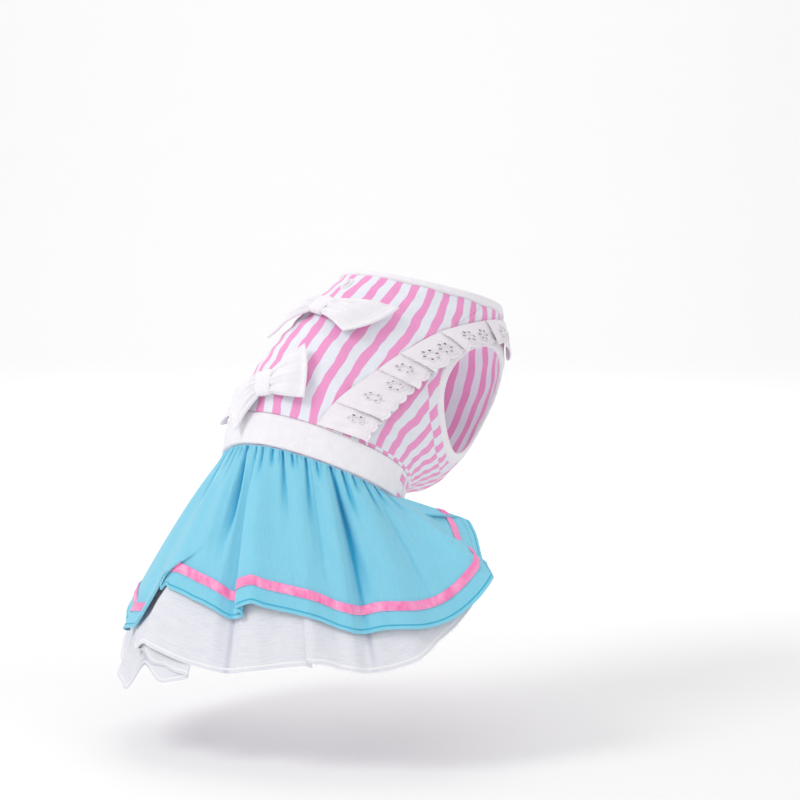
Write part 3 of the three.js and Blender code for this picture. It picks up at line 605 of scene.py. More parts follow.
# the satin is clouded between a lighter and a deeper pink: painted highlight and shade of its sheen
satin = cloth_finish("satin", even(rgb(255, 172, 214), rgb(246, 112, 178), 110.0), thread=0.25, weave=0.1,
                     crease=0.5, roughness=0.3, sheen=0.1, shiny=0.6)


def thread_finish(name, colour_value, dark_value):
    """Twisted sewing thread."""
    made = bpy.data.materials.new(name)
    made.use_nodes = True
    tree = made.node_tree
    shader = tree.nodes["Principled BSDF"]
    place = add(tree, "ShaderNodeTexCoord").outputs["Object"]
    twist = add(tree, "ShaderNodeTexNoise", {"Vector": place, "Scale": 2500.0, "Detail": 1.0}).outputs[0]
    share = add(tree, "ShaderNodeMapRange", {0: twist, 1: 0.35, 2: 0.65}).outputs[0]
    tree.links.new(blend_colours(tree, share, colour_value, dark_value), shader.inputs["Base Color"])
    bump = add(tree, "ShaderNodeBump", {"Height": twist, "Strength": 0.3, "Distance": 0.0001})
    tree.links.new(bump.outputs[0], shader.inputs["Normal"])
    shader.inputs["Roughness"].default_value = 0.6
    return made


white_thread = thread_finish("white_thread", rgb(252, 250, 252), rgb(236, 232, 240))
pink_thread = thread_finish("pink_thread", rgb(255, 190, 224), rgb(240, 130, 190))
blue_thread = thread_finish("blue_thread", rgb(90, 190, 222), rgb(40, 155, 200))


# ---------------------------------------------------------------- bodice
def rumple(at, around):
    """Small folds of the bodice's cloth, mm."""
    x, y = cloth_round(around), at * MM_PER_AT
    side_folds = np.sin((y + 0.25 * x + 3 * np.sin(x / 17)) * math.tau / 13)
    edge = np.clip((y - bodice_bottom * MM_PER_AT) / 14, 0, 1)
    return edge * (0.35 * side_folds + 0.45 * waves(x, y, 4, 14, 38))


def in_armhole(at, around, grow):
    p = body(at, around)
    forward, up = -p[..., 1], p[..., 2]
    inside = ((forward - ARMHOLE_FORWARD) / (ARMHOLE_LENGTH / 2 + grow)) ** 2
    inside = inside + ((up - ARMHOLE_UP) / (ARMHOLE_HEIGHT / 2 + grow)) ** 2
    return np.where(np.abs(p[..., 0]) > 8, inside, 9.0)


def middle(a):
    return (a[1:, 1:] + a[:-1, 1:] + a[1:, :-1] + a[:-1, :-1]) / 4


def bodice_panel(name, nu, nv, from_edge, to_edge, bottom, top, material, tucks=False):
    u, v = grid(nu, nv)
    at = mix(bottom, top, v)
    around = mix(from_edge(at), to_edge(at), u)
    keep = in_armhole(middle(at), middle(around), ARMHOLE_BINDING_WIDTH - UNDER_BINDING) > 1
    tuck = np.full(at.shape, NO_TUCK)
    lift = CLOTH + rumple(at, around)
    if tucks:
        beside_band = (TUCK_WIDTH + (band_top - at) * MM_PER_AT) * ramp(66, 72, np.abs(around))
        reach = np.sqrt(in_armhole(at, around, ARMHOLE_BINDING_WIDTH))
        tuck = np.maximum(np.where(beside_band > 0, beside_band, NO_TUCK), (1.16 - reach) * 42)
        lift = lift - 0.5 * np.exp(-((tuck / 0.9) ** 2))
    uv = np.stack([cloth_round(around), at * MM_PER_AT], axis=-1)
    return wall(name, on_body(at, around, lift), BODICE_SHEET, material, uv, keep=keep,
                attributes={"tuck": tuck})


def back_seam(at):
    return column(BACK_SEAM, "around", at)


def slotted(at, around):
    x = around * MM_PER_DEGREE
    y = (at - SLOT_AT) * MM_PER_AT
    return (np.abs(x) < SLOT_WIDTH / 2) & (np.abs(y) < SLOT_LENGTH / 2)


def back_panel():
    columns = 128
    u, v = grid(columns, 90)
    at = mix(bodice_bottom, bodice_top, v)
    edge = back_seam(at) - gap_around / 2
    # the middle columns keep to the leash slot's sides
    slot_side = SLOT_WIDTH / 2 / MM_PER_DEGREE
    side = 2 * u - 1
    share = np.clip((np.abs(side) - 2 / columns) / (1 - 2 / columns), 0, 1)
    around = np.sign(side) * np.where(np.abs(side) <= 2.01 / columns, slot_side * np.abs(side) * columns / 2,
                                      mix(slot_side, edge, share))
    keep = in_armhole(middle(at), middle(around), ARMHOLE_BINDING_WIDTH - UNDER_BINDING) > 1
    keep &= ~slotted(middle(at), middle(around))
    uv = np.stack([cloth_round(around), at * MM_PER_AT], axis=-1)
    calm = np.exp(-((at - SLOT_AT) ** 2) / 0.005 - (around / 25) ** 2)
    lift = CLOTH + rumple(at, around) * (1 - 0.7 * calm)
    return wall("back_panel_cotton", on_body(at, around, lift), BODICE_SHEET, striped_cotton, uv, keep=keep,
                attributes={"tuck": np.full(at.shape, NO_TUCK)})


def level(degrees):
    return lambda at: np.full(np.shape(at), float(degrees))


back = back_panel()
side_right = bodice_panel("side_panel_cotton_right", 84, 90, lambda at: back_seam(at) + gap_around / 2,
                          level(FRONT_SEAM - gap_around / 2), bodice_bottom, bodice_top, striped_cotton, True)
side_left = bodice_panel("side_panel_cotton_left", 84, 90, level(-FRONT_SEAM + gap_around / 2),
                         lambda at: -back_seam(at) - gap_around / 2, bodice_bottom, bodice_top,
                         striped_cotton, True)
chest = bodice_panel("chest_panel_cotton", 100, 90, level(FRONT_SEAM + gap_around / 2),
                     level(360 - FRONT_SEAM - gap_around / 2), bodice_bottom, bodice_top, striped_cotton)


# ---------------------------------------------------------------- waist
def band(name, nu, nv, from_edge, to_edge, bottom, top, thick, material, radius=1.1, creases=0.0):
    """A strip of folded cloth round the body, with soft edges."""
    u, v = grid(nu, nv)
    at, around = mix(bottom, top, v), mix(from_edge, to_edge, u)
    high, wide = (top - bottom) * MM_PER_AT, abs(to_edge - from_edge) * MM_PER_DEGREE
    edge = np.minimum(np.minimum(v, 1 - v) * high, np.minimum(u, 1 - u) * wide)
    lift = thick * (0.3 + 0.7 * rounded(edge, radius))
    lift = lift + creases * waves(cloth_round(around), at * MM_PER_AT * 0.6, 11, 10, 60) * rounded(edge, 4)
    uv = np.stack([cloth_round(around), at * MM_PER_AT], axis=-1)
    inner = body(at, around)
    outer = on_body(at, around, lift)
    return lined(name, outer, inner, material, uv)


def lined(name, outer, inner, material, uv, loop=False, flip=False):
    """A closed piece between an outer and an inner grid of points."""
    count = outer.shape[0] * outer.shape[1]
    index = np.arange(count).reshape(outer.shape[:2])
    if loop:
        index = np.concatenate([index, index[:1]])
    a, b, c, d = (x.ravel() for x in (index[:-1, :-1], index[1:, :-1], index[1:, 1:], index[:-1, 1:]))
    faces = [np.stack([a, b, c, d], -1), np.stack([d, c, b, a], -1) + count]
    rims = [index[:, 0][::-1], index[:, -1]]
    if not loop:
        rims += [index[0, :], index[-1, :][::-1]]
    for rim in rims:
        s, e = rim[:-1], rim[1:]
        faces.append(np.stack([e, s, s + count, e + count], -1))
    faces = np.concatenate(faces)
    if flip:
        faces = faces[:, ::-1]
    return mesh_piece(name, np.concatenate([outer.reshape(-1, 3), inner.reshape(-1, 3)]), [faces], material,
                      np.tile(uv.reshape(-1, 2), (2, 1)))


strip_from = WAISTBAND_END + gap_around
strip_to = strip_from + STRIP_WIDTH
piping_to = strip_to + gap_around + PIPING_WIDTH
belly_from = piping_to + 2 * gap_around
belly_top = band_top - BELLY_PIPING / MM_PER_AT

waistband = band("waistband_cotton", 220, 26, -WAISTBAND_END, WAISTBAND_END, band_bottom, band_top,
                 WAISTBAND_WALL, white_cotton, creases=0.22)
trims = []
for way, hand in ((1, "right"), (-1, "left")):
    a, b = sorted((way * strip_from, way * strip_to))
    trims.append(band(f"side_strip_cotton_{hand}", 12, 24, a, b, band_bottom, band_top, CLOTH,
                      striped_cotton_across, 0.8))
    a, b = sorted((way * (strip_to + gap_around), way * piping_to))
    trims.append(band(f"side_piping_cotton_{hand}", 8, 24, a, b, band_bottom, band_top, PIPING_WALL,
                      white_cotton, 1.0))
belly = band("belly_panel_cotton", 110, 22, belly_from, 360 - belly_from, band_bottom, belly_top - gap_at,
             CLOTH, striped_cotton_across, 0.8, creases=0.3)
belly_piping = band("belly_piping_cotton", 110, 8, belly_from, 360 - belly_from, belly_top, band_top,
                    PIPING_WALL, white_cotton, 1.4)


# ---------------------------------------------------------------- bindings
def neck_tape():
    u, v = grid(180, 10, loop=True)
    at, around = mix(bodice_top + gap_at, neck, v), 360 * u
    swell = 0.35 + 0.65 * rounded(np.minimum(v, 1 - v) * NECK_BINDING_WIDTH, 1.6)
    lift = BINDING_WALL * swell - BINDING_INSIDE
    lift = lift + 0.15 * waves(cloth_round(around), at * 90, 5, 8, 30)
    uv = np.stack([cloth_round(around), at * MM_PER_AT], -1)
    inside = np.full(at.shape, -BINDING_INSIDE)
    return lined("neck_bias_tape", on_body(at, around, lift), on_body(at, around, inside), white_cotton, uv,
                 loop=True)


def beside_at(forward, up):
    """The place on the body seen from the side, at a distance forward and up."""
    low, high = np.full(forward.shape, -0.4), np.full(forward.shape, 1.1)
    for _ in range(40):
        at = (low + high) / 2
        a, b = (column(SECTIONS, "back_" + k, at) * BACK_LENGTH for k in ("forward", "up"))
        c, d = (column(SECTIONS, "belly_" + k, at) * BACK_LENGTH for k in ("forward", "up"))
        above = (c - a) * (up - b) - (d - b) * (forward - a) > 0
        low, high = np.where(above, at, low), np.where(above, high, at)
    to_belly = np.clip((forward - a) / (c - a), 0, 1)
    return at, np.degrees(np.arccos(1 - 2 * to_belly))


def armhole_tape(name, way):
    u, v = grid(150, 12, loop=True)
    turn, grow = math.tau * u, v * ARMHOLE_BINDING_WIDTH
    forward = ARMHOLE_FORWARD + (ARMHOLE_LENGTH / 2 + grow) * np.cos(turn)
    up = ARMHOLE_UP + (ARMHOLE_HEIGHT / 2 + grow) * np.sin(turn)
    at, around = beside_at(forward, up)
    base = body(at, around)
    swell = 0.35 + 0.65 * rounded(np.minimum(v, 1 - v) * ARMHOLE_BINDING_WIDTH, 1.7)
    swell = swell + 0.05 * waves(turn * ARMHOLE_ROUND, grow, 8, 8, 40)
    out = np.array([-1.0, 0, 0])
    outer = base + out * (BINDING_WALL * swell - BINDING_INSIDE)[..., None]
    inner = base - out * BINDING_INSIDE
    uv = np.stack([turn * ARMHOLE_ROUND, grow], -1)
    mirror = np.array([way, 1, 1])
    return lined(name, outer * mirror, inner * mirror, white_cotton, uv, loop=True, flip=way > 0)


neck_binding = neck_tape()
armhole_right = armhole_tape("armhole_bias_tape_right", 1)
armhole_left = armhole_tape("armhole_bias_tape_left", -1)


def slot_rim():
    u, v = grid(48, 6, loop=True)
    turn, grow = math.tau * u, SEAM_GAP + v * RIM_WIDTH
    x = (SLOT_WIDTH / 2 + grow) * np.cos(turn)
    y = (SLOT_LENGTH / 2 + grow) * np.sin(turn)
    at, around = SLOT_AT + y / MM_PER_AT, x / MM_PER_DEGREE
    ribs = 0.12 * np.sin(turn * 40)
    edge = np.minimum(v, 1 - v) * RIM_WIDTH
    lift = CLOTH + SEAM_GAP + RIM_HEIGHT * rounded(edge, 0.9) + ribs * rounded(v * RIM_WIDTH, 1)
    uv = np.stack([turn * 4, grow], -1)
    return lined("leash_slot_stitches", on_body(at, around, lift),
                 on_body(at, around, np.full(at.shape, CLOTH)), white_cotton, uv, loop=True, flip=True)


slot_stitches = slot_rim()


# ---------------------------------------------------------------- lace
def lace_spot(along, line):
    return body(column(RUFFLE, line + "_at", along), column(RUFFLE, line + "_around", along))


PLACES = np.linspace(0, 1, 201)
LACE_WIDE = np.linalg.norm(lace_spot(PLACES, "edge") - lace_spot(PLACES, "seam"), axis=1)
MIDLINE = (lace_spot(PLACES, "edge") + lace_spot(PLACES, "seam")) / 2
LACE_LONG = float(np.linalg.norm(np.diff(MIDLINE, axis=0), axis=1).sum())
# The flat lace, mm: each pleat takes the length that shows and twice the part that is folded under.
PLEAT_LONG = np.diff(PLEATS) * LACE_LONG
PLEAT_START = np.concatenate([[0], np.cumsum(PLEAT_LONG + 2 * LACE_UNDER)])
FLAT_LONG = float(PLEAT_START[-1])


def lace_folds(flat):
    """Place along the ruffle, and rise of the pleat as a share, for each mm of the flat lace."""
    i = np.clip(np.searchsorted(PLEAT_START, flat, "right") - 1, 0, len(PLEAT_LONG) - 1)
    past = flat - PLEAT_START[i] - LACE_UNDER
    turned = past < 0
    along = PLEATS[i] + np.where(turned, -past, past) / LACE_LONG
    rise = np.where(turned, 1 + past / LACE_UNDER, 1 - past / (PLEAT_LONG[i] + LACE_UNDER))
    return along, rise


def lace_width(flat):
    return np.interp(np.minimum(lace_folds(flat)[0], 1), PLACES, LACE_WIDE)


def lace_place(flat, out):
    """Points of the ruffle's inner face from the flat lace, mm from its start and from its sewn edge."""
    along, rise = lace_folds(flat)
    across = out / lace_width(flat)
    along = np.clip(along + LACE_PLEAT_LEAN * across * np.sin(math.pi * np.clip(along, 0, 1)), 0, 1)
    lift = CLOTH + LACE_CLEARANCE + LACE_STAND * across + LACE_PLEAT * rise * (0.3 + 0.7 * across)
    lift = lift + 0.45 * np.clip(across * 2, 0, 1) * waves(flat, out, 21, 9, 20)
    row = {k: column(RUFFLE, k, along) for k in ("seam_at", "edge_at", "seam_around", "edge_around")}
    return on_body(mix(row["seam_at"], row["edge_at"], across),
                   mix(row["seam_around"], row["edge_around"], across), lift)


def lace_edge(flat):
    scallop = np.abs(np.sin(math.pi * LACE_SCALLOPS * flat / FLAT_LONG)) ** 0.75
    return lace_width(flat) - LACE_SCALLOP_DEPTH * (1 - scallop) + 0.6


def lace_holes():
    """Oval eyelets of the flowers and pinholes along the scallops: x, y, long radius, short radius, turn."""
    eyelets, pins = [], []
    for along, across in zip(*FLOWERS.values()):
        i = np.searchsorted(PLEATS, along, "right") - 1
        x = PLEAT_START[i] + LACE_UNDER + (along - PLEATS[i]) * LACE_LONG
        wide = float(lace_width(x))
        radius = min(FLOWER_RADIUS, 0.19 * wide)
        for k in range(6):
            turn = math.tau * (k + 0.25) / 6
            eyelets.append((x + radius * math.cos(turn), across * wide + radius * math.sin(turn),
                            EYELET[0] / 2, EYELET[1] / 2, turn))
    for x in np.arange(3, FLAT_LONG - 3, 1.6):
        if np.abs(np.concatenate([PLEAT_START - x, PLEAT_START + LACE_UNDER - x])).min() > 0.7:
            pins.append((x, float(lace_edge(x)) - 1.9, 0.32, 0.32, 0))
    return np.array(eyelets), np.array(pins)


def hole_outline(hole, count, grow=0.0):
    """Points round a hole, grow mm outside its edge."""
    x, y, long, short, turn = hole
    t = np.arange(count) / count * math.tau
    a, b = (long + grow) * np.cos(t), (short + grow) * np.sin(t)
    return np.stack([x + a * math.cos(turn) - b * math.sin(turn),
                     y + a * math.sin(turn) + b * math.cos(turn)], -1)


def from_holes(points, holes):
    """Distance of each point from the nearest hole's middle, as a share of that hole's radius there."""
    near = np.full(len(points), 9.0)
    for x, y, long, short, turn in holes:
        dx, dy = points[:, 0] - x, points[:, 1] - y
        a = dx * math.cos(turn) + dy * math.sin(turn)
        b = dy * math.cos(turn) - dx * math.sin(turn)
        near = np.minimum(near, np.hypot(a / long, b / short))
    return near


def flat_lace(eyelets, pins):
    """The flat lace with its eyelets and pinholes cut out: points and triangles."""
    along_seam = np.arange(0, FLAT_LONG, 1.25)
    along_edge = np.arange(FLAT_LONG, 0, -0.6)
    ends = [np.stack([np.full(20, x), np.linspace(a, b, 20)], -1)[:-1]
            for x, a, b in ((FLAT_LONG, 0, float(lace_edge(FLAT_LONG))), (0, float(lace_edge(0)), 0))]
    outline = np.concatenate([np.stack([along_seam, 0 * along_seam], -1), ends[0],
                              np.stack([along_edge, lace_edge(along_edge)], -1), ends[1]])
    loops = [outline] + [hole_outline(h, 14) for h in eyelets] + [hole_outline(h, 6) for h in pins]
    folds = np.concatenate([PLEAT_START[1:-1], PLEAT_START[:-1] + LACE_UNDER])
    inner = [np.stack([np.full(len(t), x), t], -1)
             for x in folds for t in [np.arange(0.8, float(lace_edge(x)) - 0.4, 0.9)]]
    x, y = np.meshgrid(np.arange(0.6, FLAT_LONG - 0.3, 1.2), np.arange(0.7, 34, 1.1), indexing="ij")
    x = x + 0.6 * (np.arange(x.shape[1]) % 2)
    rest = np.stack([x.ravel(), y.ravel()], -1)
    rest = rest[np.abs(rest[:, :1] - folds).min(axis=1) > 0.5]
    inner = np.concatenate([*inner, rest])
    inner = inner[(inner[:, 1] < lace_edge(inner[:, 0]) - 0.5) & (inner[:, 0] < FLAT_LONG - 0.4)]
    inner = inner[(from_holes(inner, eyelets) > 1.35) & (from_holes(inner, pins) > 1.9)]
    points, edges, start = [], [], 0
    for loop in loops:
        points.append(loop)
        ring = np.arange(start, start + len(loop))
        edges += list(zip(ring.tolist(), np.roll(ring, -1).tolist()))
        start += len(loop)
    points = np.concatenate([*points, inner])
    made = mathutils.geometry.delaunay_2d_cdt(
        [mathutils.Vector(q) for q in points.tolist()], edges, [], 0, 1e-5)
    points = np.array([tuple(q) for q in made[0]])
    triangles = np.array([f for f in made[2] if len(f) == 3])
    middle_of = points[triangles].mean(axis=1)
    cloth = (middle_of[:, 1] < lace_edge(middle_of[:, 0])) & (middle_of[:, 1] > 0)
    cloth &= (from_holes(middle_of, eyelets) > 1) & (from_holes(middle_of, pins) > 1)
    triangles = triangles[cloth]
    corner = points[triangles]
    a, b = corner[:, 1] - corner[:, 0], corner[:, 2] - corner[:, 0]
    area = a[:, 0] * b[:, 1] - a[:, 1] * b[:, 0]
    triangles[area < 0] = triangles[area < 0][:, ::-1]
    return points, triangles[np.abs(area) > 1e-7]


eyelets, pins = lace_holes()
lace_points, lace_triangles = flat_lace(eyelets, pins)


def lace(name, way):
    x, y = lace_points.T
    base = lace_place(x, y)
    triangles = lace_triangles[:, ::-1]
    corner = base[triangles]
    face_normal = np.cross(corner[:, 1] - corner[:, 0], corner[:, 2] - corner[:, 0])
    normal = np.zeros_like(base)
    for k in range(3):
        np.add.at(normal, triangles[:, k], face_normal)
    normal = unit(normal)
    ring = np.exp(-((np.maximum(from_holes(lace_points, eyelets) - 1, 0) / 0.5) ** 2))
    border = np.exp(-((lace_edge(x) - y) / 0.9) ** 2)
    sewn = np.maximum(ring, border)
    top = base + normal * (0.4 + 0.35 * sewn)[:, None]
    count = len(base)
    edges = np.concatenate([triangles[:, [0, 1]], triangles[:, [1, 2]], triangles[:, [2, 0]]])
    key = np.sort(edges, axis=1) @ [count, 1]
    _, first, times = np.unique(key, return_index=True, return_counts=True)
    rim = edges[first[times == 1]]
    a, b = rim.T
    sides = np.stack([b, a, a + count, b + count], -1)
    faces = [np.concatenate([triangles, triangles[:, ::-1] + count]), sides]
    if way < 0:
        faces = [f[:, ::-1] for f in faces]
    mirror = np.array([way, 1, 1])
    # the thin lace away from the embroidery and its rims gets the greyer white: partly its own see-through
    # tone, partly painted shade; the embroidery keeps the whiter colour
    return mesh_piece(name, np.concatenate([top, base]) * mirror, faces, lace_cotton,
                      np.tile(lace_points, (2, 1)), {"painted_shade": np.tile(1 - sewn, 2)}, sharp=60)


lace_right = lace("eyelet_lace_right", 1)
lace_left = lace("eyelet_lace_left", -1)


# ---------------------------------------------------------------- skirt
def skirt_base(across, down):
    held = np.clip(across, -1, 1)
    start = body(np.full(across.shape, skirt_top), across * SKIRT_END)
    heading = np.radians(column(SKIRT, "heading", held))
    reach = column(SKIRT, "reach", held) * SKIRT_LENGTH * down * (1.15 - 0.15 * down)
    drop = column(SKIRT, "drop", held) * SKIRT_LENGTH * down
    return start + np.stack([-np.sin(heading) * reach, np.cos(heading) * reach, -drop], -1)


def skirt_normal(across, down):
    d, a = np.maximum(down, 0.05), np.clip(across, -0.998, 0.998)
    fall = skirt_base(a, d + 0.002) - skirt_base(a, d - 0.002)
    over = skirt_base(a + 0.002, d) - skirt_base(a - 0.002, d)
    return unit(np.cross(fall, over))


def lasting(start, end, down):
    return ramp(start - 0.25, start + 0.05, down) * (1 - ramp(end - 0.4, end, down))


def fold_of(across, down):
    """Height of the folds, as a share of their depth."""
    total = np.zeros(np.broadcast(across, down).shape)
    for at, out, left, right, start, end in zip(*FOLDS.values()):
        t = (across - at) / np.where(across < at, left, right)
        swell = out * lasting(start, end, down) * np.cos(t * math.pi / 2) ** 2
        total = total + np.where(np.abs(t) < 1, swell, 0)
    return total


def skirt_place(across, down, lift):
    depth = mix(FOLD_TOP, FOLD_DEPTH, ramp(0, 0.3, down))
    gathered = np.maximum(0, 1 - 5 * down)[..., None]
    square = body_normal(np.full(across.shape, skirt_top), across * SKIRT_END)
    out = unit(mix(skirt_normal(across, down), square, gathered))
    rise = end_fade(across) * depth * fold_of(across, down) + lift
    return skirt_base(across, down) + out * rise[..., None]


def end_fade(across):
    return np.minimum(1, (1 - np.abs(across)) / 0.06)


def lapped(cloth, down, laps):
    """Where each place of the cloth lies across, and how far its laps raise it, mm."""
    across, rise = cloth + 0 * down, 0 * cloth * down
    for at, lean, half, cover, start, front, settle in zip(*laps.values()):
        side = (cloth - at - lean * (1 - down)) / half
        held = ramp(start, start + 0.45, down)
        across = across - (half + cover) / 2 * held * np.sin(math.pi * np.clip(side, -1, 1))
        side = side * np.sign(front)
        away = np.maximum(0, side - 0.6) * half / settle
        rise = rise + abs(front) * held * ramp(-0.6, 0.6, side) * np.exp(-(away**2))
    return across, rise


# Small gathers under the waistband: middle, lean, length, width and depth, as for the slits
draw = np.random.default_rng(14)
GATHER_COUNT = 90
GATHERS = {
    "at": np.linspace(-0.97, 0.97, GATHER_COUNT) + draw.uniform(-0.01, 0.01, GATHER_COUNT),
    "lean": draw.uniform(-0.05, 0.05, GATHER_COUNT),
    "long": 0.03 + 0.13 * draw.uniform(0, 1, GATHER_COUNT) ** 2,
    "wide": draw.uniform(0.0035, 0.007, GATHER_COUNT),
    "deep": draw.uniform(0.2, 1.0, GATHER_COUNT),
}


def creases(table, across, down):
    """Depth of narrow creases that start under the waistband, mm."""
    total = np.zeros(across.shape)
    for at, lean, long, wide, deep in zip(*(table[k] for k in ("at", "lean", "long", "wide", "deep"))):
        top = down[0] < long
        d = down[:, top]
        t = (across[:, top] - at - lean * d) / (wide * (0.7 + 1.8 * d / long))
        total[:, top] += deep * np.exp(-(t**2)) * ramp(0, 0.012, d) * (1 - ramp(0.25 * long, long, d))
    return total


def valleys(across, down):
    """Where light hardly reaches: the floors of the deep folds."""
    total = np.zeros(across.shape)
    for at, out, left, right, start, end in zip(*FOLDS.values()):
        if out < 0:
            t = (across - at) / (0.1 * (left + right) * (0.55 + 0.6 * down))
            total += -out * lasting(start, end, down) * np.exp(-(t**2)) * ramp(0, 0.08, down)
    return total


def hem_length(across):
    return np.hypot(column(SKIRT, "reach", across), column(SKIRT, "drop", across)) * SKIRT_LENGTH


# Rows of the cloth down the skirt, close together where the hem is rolled
ROWS = np.concatenate([np.linspace(0, 0.02, 5)[:-1], np.linspace(0.02, 0.982, 50)[:-1],
                       [0.982, 0.986, 0.99, 0.9935, 0.9965, 0.9985, 1.0]])


def skirt():
    cloth, v = np.meshgrid(np.linspace(-1, 1, 641), ROWS, indexing="ij")
    down = v * column(HEM, "share", cloth)
    across, rise = lapped(cloth, down, SKIRT_LAPS)
    small, deep = creases(GATHERS, across, v), creases(SLITS, across, v)
    outer = skirt_place(across, down, SKIRT_WALL + rise - end_fade(across) * (small + deep))
    above_hem = (1 - v) * hem_length(cloth)
    # painted shade: how much of the deeper blue is painted into the floors of the deep folds, the gathers and
    # the slits
    painted_shade = np.clip(0.62 * valleys(across, down) + 0.55 * small + 0.6 * deep, 0, 1)
    uv = np.stack([cloth * HALF_SKIRT_CLOTH, -above_hem], -1)
    roll = 0.5 + 0.7 * np.exp(-((above_hem / 0.9) ** 2))
    return wall("skirt_georgette", outer, roll, georgette, uv, inward=1, attributes={"painted_shade": painted_shade})


def skirt_band(low, high, columns, rows, end=1.0):
    """Points on the skirt's face between two heights above its hem, and the way out of the cloth."""
    cloth, v = np.meshgrid(
        np.linspace(-end, end, columns + 1), np.linspace(high, low, rows + 1), indexing="ij")
    down = column(HEM, "share", cloth) - (v + column(RIBBON_RISE, "rise", cloth)) / hem_length(cloth)
    across, rise = lapped(cloth, down, SKIRT_LAPS)
    face = skirt_place(across, down, SKIRT_WALL + rise)
    return cloth, v, face, -grid_normals(face)


def covered(cloth):
    """How far a fold covers the ribbon, 0 to 1."""
    share = 0 * cloth
    for start, end in zip(*RIBBON_COVERED.values()):
        begun, ended = (ramp(place - 0.003, place + 0.003, cloth) for place in (start, end))
        share = share + begun * (1 - ended)
    return share


def ribbon():
    low, high = RIBBON_ABOVE_HEM - RIBBON_WIDTH / 2, RIBBON_ABOVE_HEM + RIBBON_WIDTH / 2
    cloth, v, face, out = skirt_band(low, high, 640, 8, RIBBON_END)
    crown = rounded(np.minimum(v - low, high - v), 0.7)
    lift = 0.45 + 0.35 * crown + 0.1 * waves(cloth * HALF_SKIRT_CLOTH, v, 31, 5, 16)
    lift = lift - RIBBON_SINK * covered(cloth)
    outer = face + out * lift[..., None]
    return wall("ribbon_satin", outer, 0.35, satin, np.stack([cloth * HALF_SKIRT_CLOTH, v], -1), inward=1)


def petticoat_down(cloth, v):
    held = ramp(0.55, 1.0, v)
    longer = column(SKIRT, "more", cloth) * SKIRT_LENGTH / hem_length(cloth)
    return v * (1 + longer + held * column(PETTICOAT_HEM, "extra", cloth))


def petticoat_place(cloth, v):
    down, held = petticoat_down(cloth, v), ramp(0.3, 0.75, v)
    across, rise = lapped(cloth, down, PETTICOAT_LAPS)
    shift = column(PETTICOAT_HEM, "shift", cloth)
    across = across + held * (shift + 0.9 * np.minimum(shift, 0) * (1 - ramp(0.8, 1.0, v)))
    rise = rise + held * column(PETTICOAT_HEM, "rise", cloth)
    across = np.clip(across, -PETTICOAT_END, PETTICOAT_END)
    below = ramp(0.85, 1.05, down)
    soft = 1.2 * below * waves(cloth * 300, down * 60, 41, 45, 120)
    return skirt_place(across, down, PETTICOAT_LIFT - PETTICOAT_INSET + rise * mix(0.3, 1, below) + soft)


def petticoat():
    rows = np.concatenate([np.linspace(0, 0.98, 44), [0.985, 0.989, 0.993, 0.9965, 1.0]])
    cloth, v = np.meshgrid(np.linspace(-PETTICOAT_END, PETTICOAT_END, 541), rows, indexing="ij")
    outer = petticoat_place(cloth, v)
    above_hem = (1 - v) * petticoat_down(cloth, np.ones_like(cloth)) * hem_length(cloth)
    roll = 0.45 + 0.6 * np.exp(-((above_hem / 0.9) ** 2))
    uv = np.stack([cloth * HALF_SKIRT_CLOTH, -above_hem], -1)
    # painted shade: how much of the greyer white is painted into the floors of the deep folds
    painted_shade = np.clip(valleys(cloth, v), 0, 1)
    return wall("petticoat_voile", outer, roll, voile, uv, inward=1, attributes={"painted_shade": painted_shade})


skirt_cloth = skirt()
ribbon_band = ribbon()
petticoat_cloth = petticoat()


# ---------------------------------------------------------------- bows
def bow_place(bow, x, y, lift, tilt):
    turn = np.radians(tilt)
    right, up = bow["side"] + x * np.cos(turn) - y * np.sin(turn), x * np.sin(turn) + y * np.cos(turn)
    return on_body(bow["at"] + up / MM_PER_AT, right / MM_PER_DEGREE, lift)


def wing_middle(bow, way, u, side):
    """The middle layer of a wing: points and the distance from its edges. u: 0 at the knot, 1 at the end."""
    tilt, lean, end, reach = bow["right" if way > 0 else "left"]
    long = reach * BOW_SPAN / 2
    half = mix(KNOT_HEIGHT * 0.36, end / 2, u**0.75)
    x = mix(KNOT_WIDTH / 2 - 1.5, long - 1.0, u) + 2.0 * u**2 * (1 - side**2)
    y = side * half + way * lean * u * long
    puff = BOW_PUFF * np.sin(math.pi * np.minimum(1, 0.15 + u)) * (1 - 0.5 * side**2)
    gathered = (1 - u) ** 1.4 * np.cos(3 * math.pi * side + way)
    gathered = ramp(0, 0.15, u) * (gathered + 0.5 * (1 - u) ** 2 * np.cos(8 * math.pi * side + 2 * way))
    soft = 0.5 * u * waves(x, y, 50 + way, 12, 30)
    edge = np.minimum((1 - np.abs(side)) * half, (1 - u) * long)
    mid = WING_LIFT + BOW_WALL / 2 + puff + BOW_CREASE * gathered + BOW_TIP * u**2 + soft
    return x, y, mid, mix(bow["tilt"], tilt, u), edge


def wing(name, bow, way):
    """A doubled piece of cloth that fans out of the knot, creased where it is gathered."""
    u, v = grid(52, 64)
    x, y, mid, tilt, edge = wing_middle(bow, way, u, 2 * v - 1)
    seam = 0.3 * np.exp(-(((edge - 2.2) / 0.5) ** 2))
    thick = BOW_WALL * (0.3 + 0.7 * rounded(edge, 1.2)) - 2 * seam
    outer = bow_place(bow, way * x, y, mid + thick / 2, tilt)
    inner = bow_place(bow, way * x, y, mid - thick / 2, tilt)
    return lined(name, outer, inner, white_cotton, np.stack([x, y], -1), flip=way < 0)


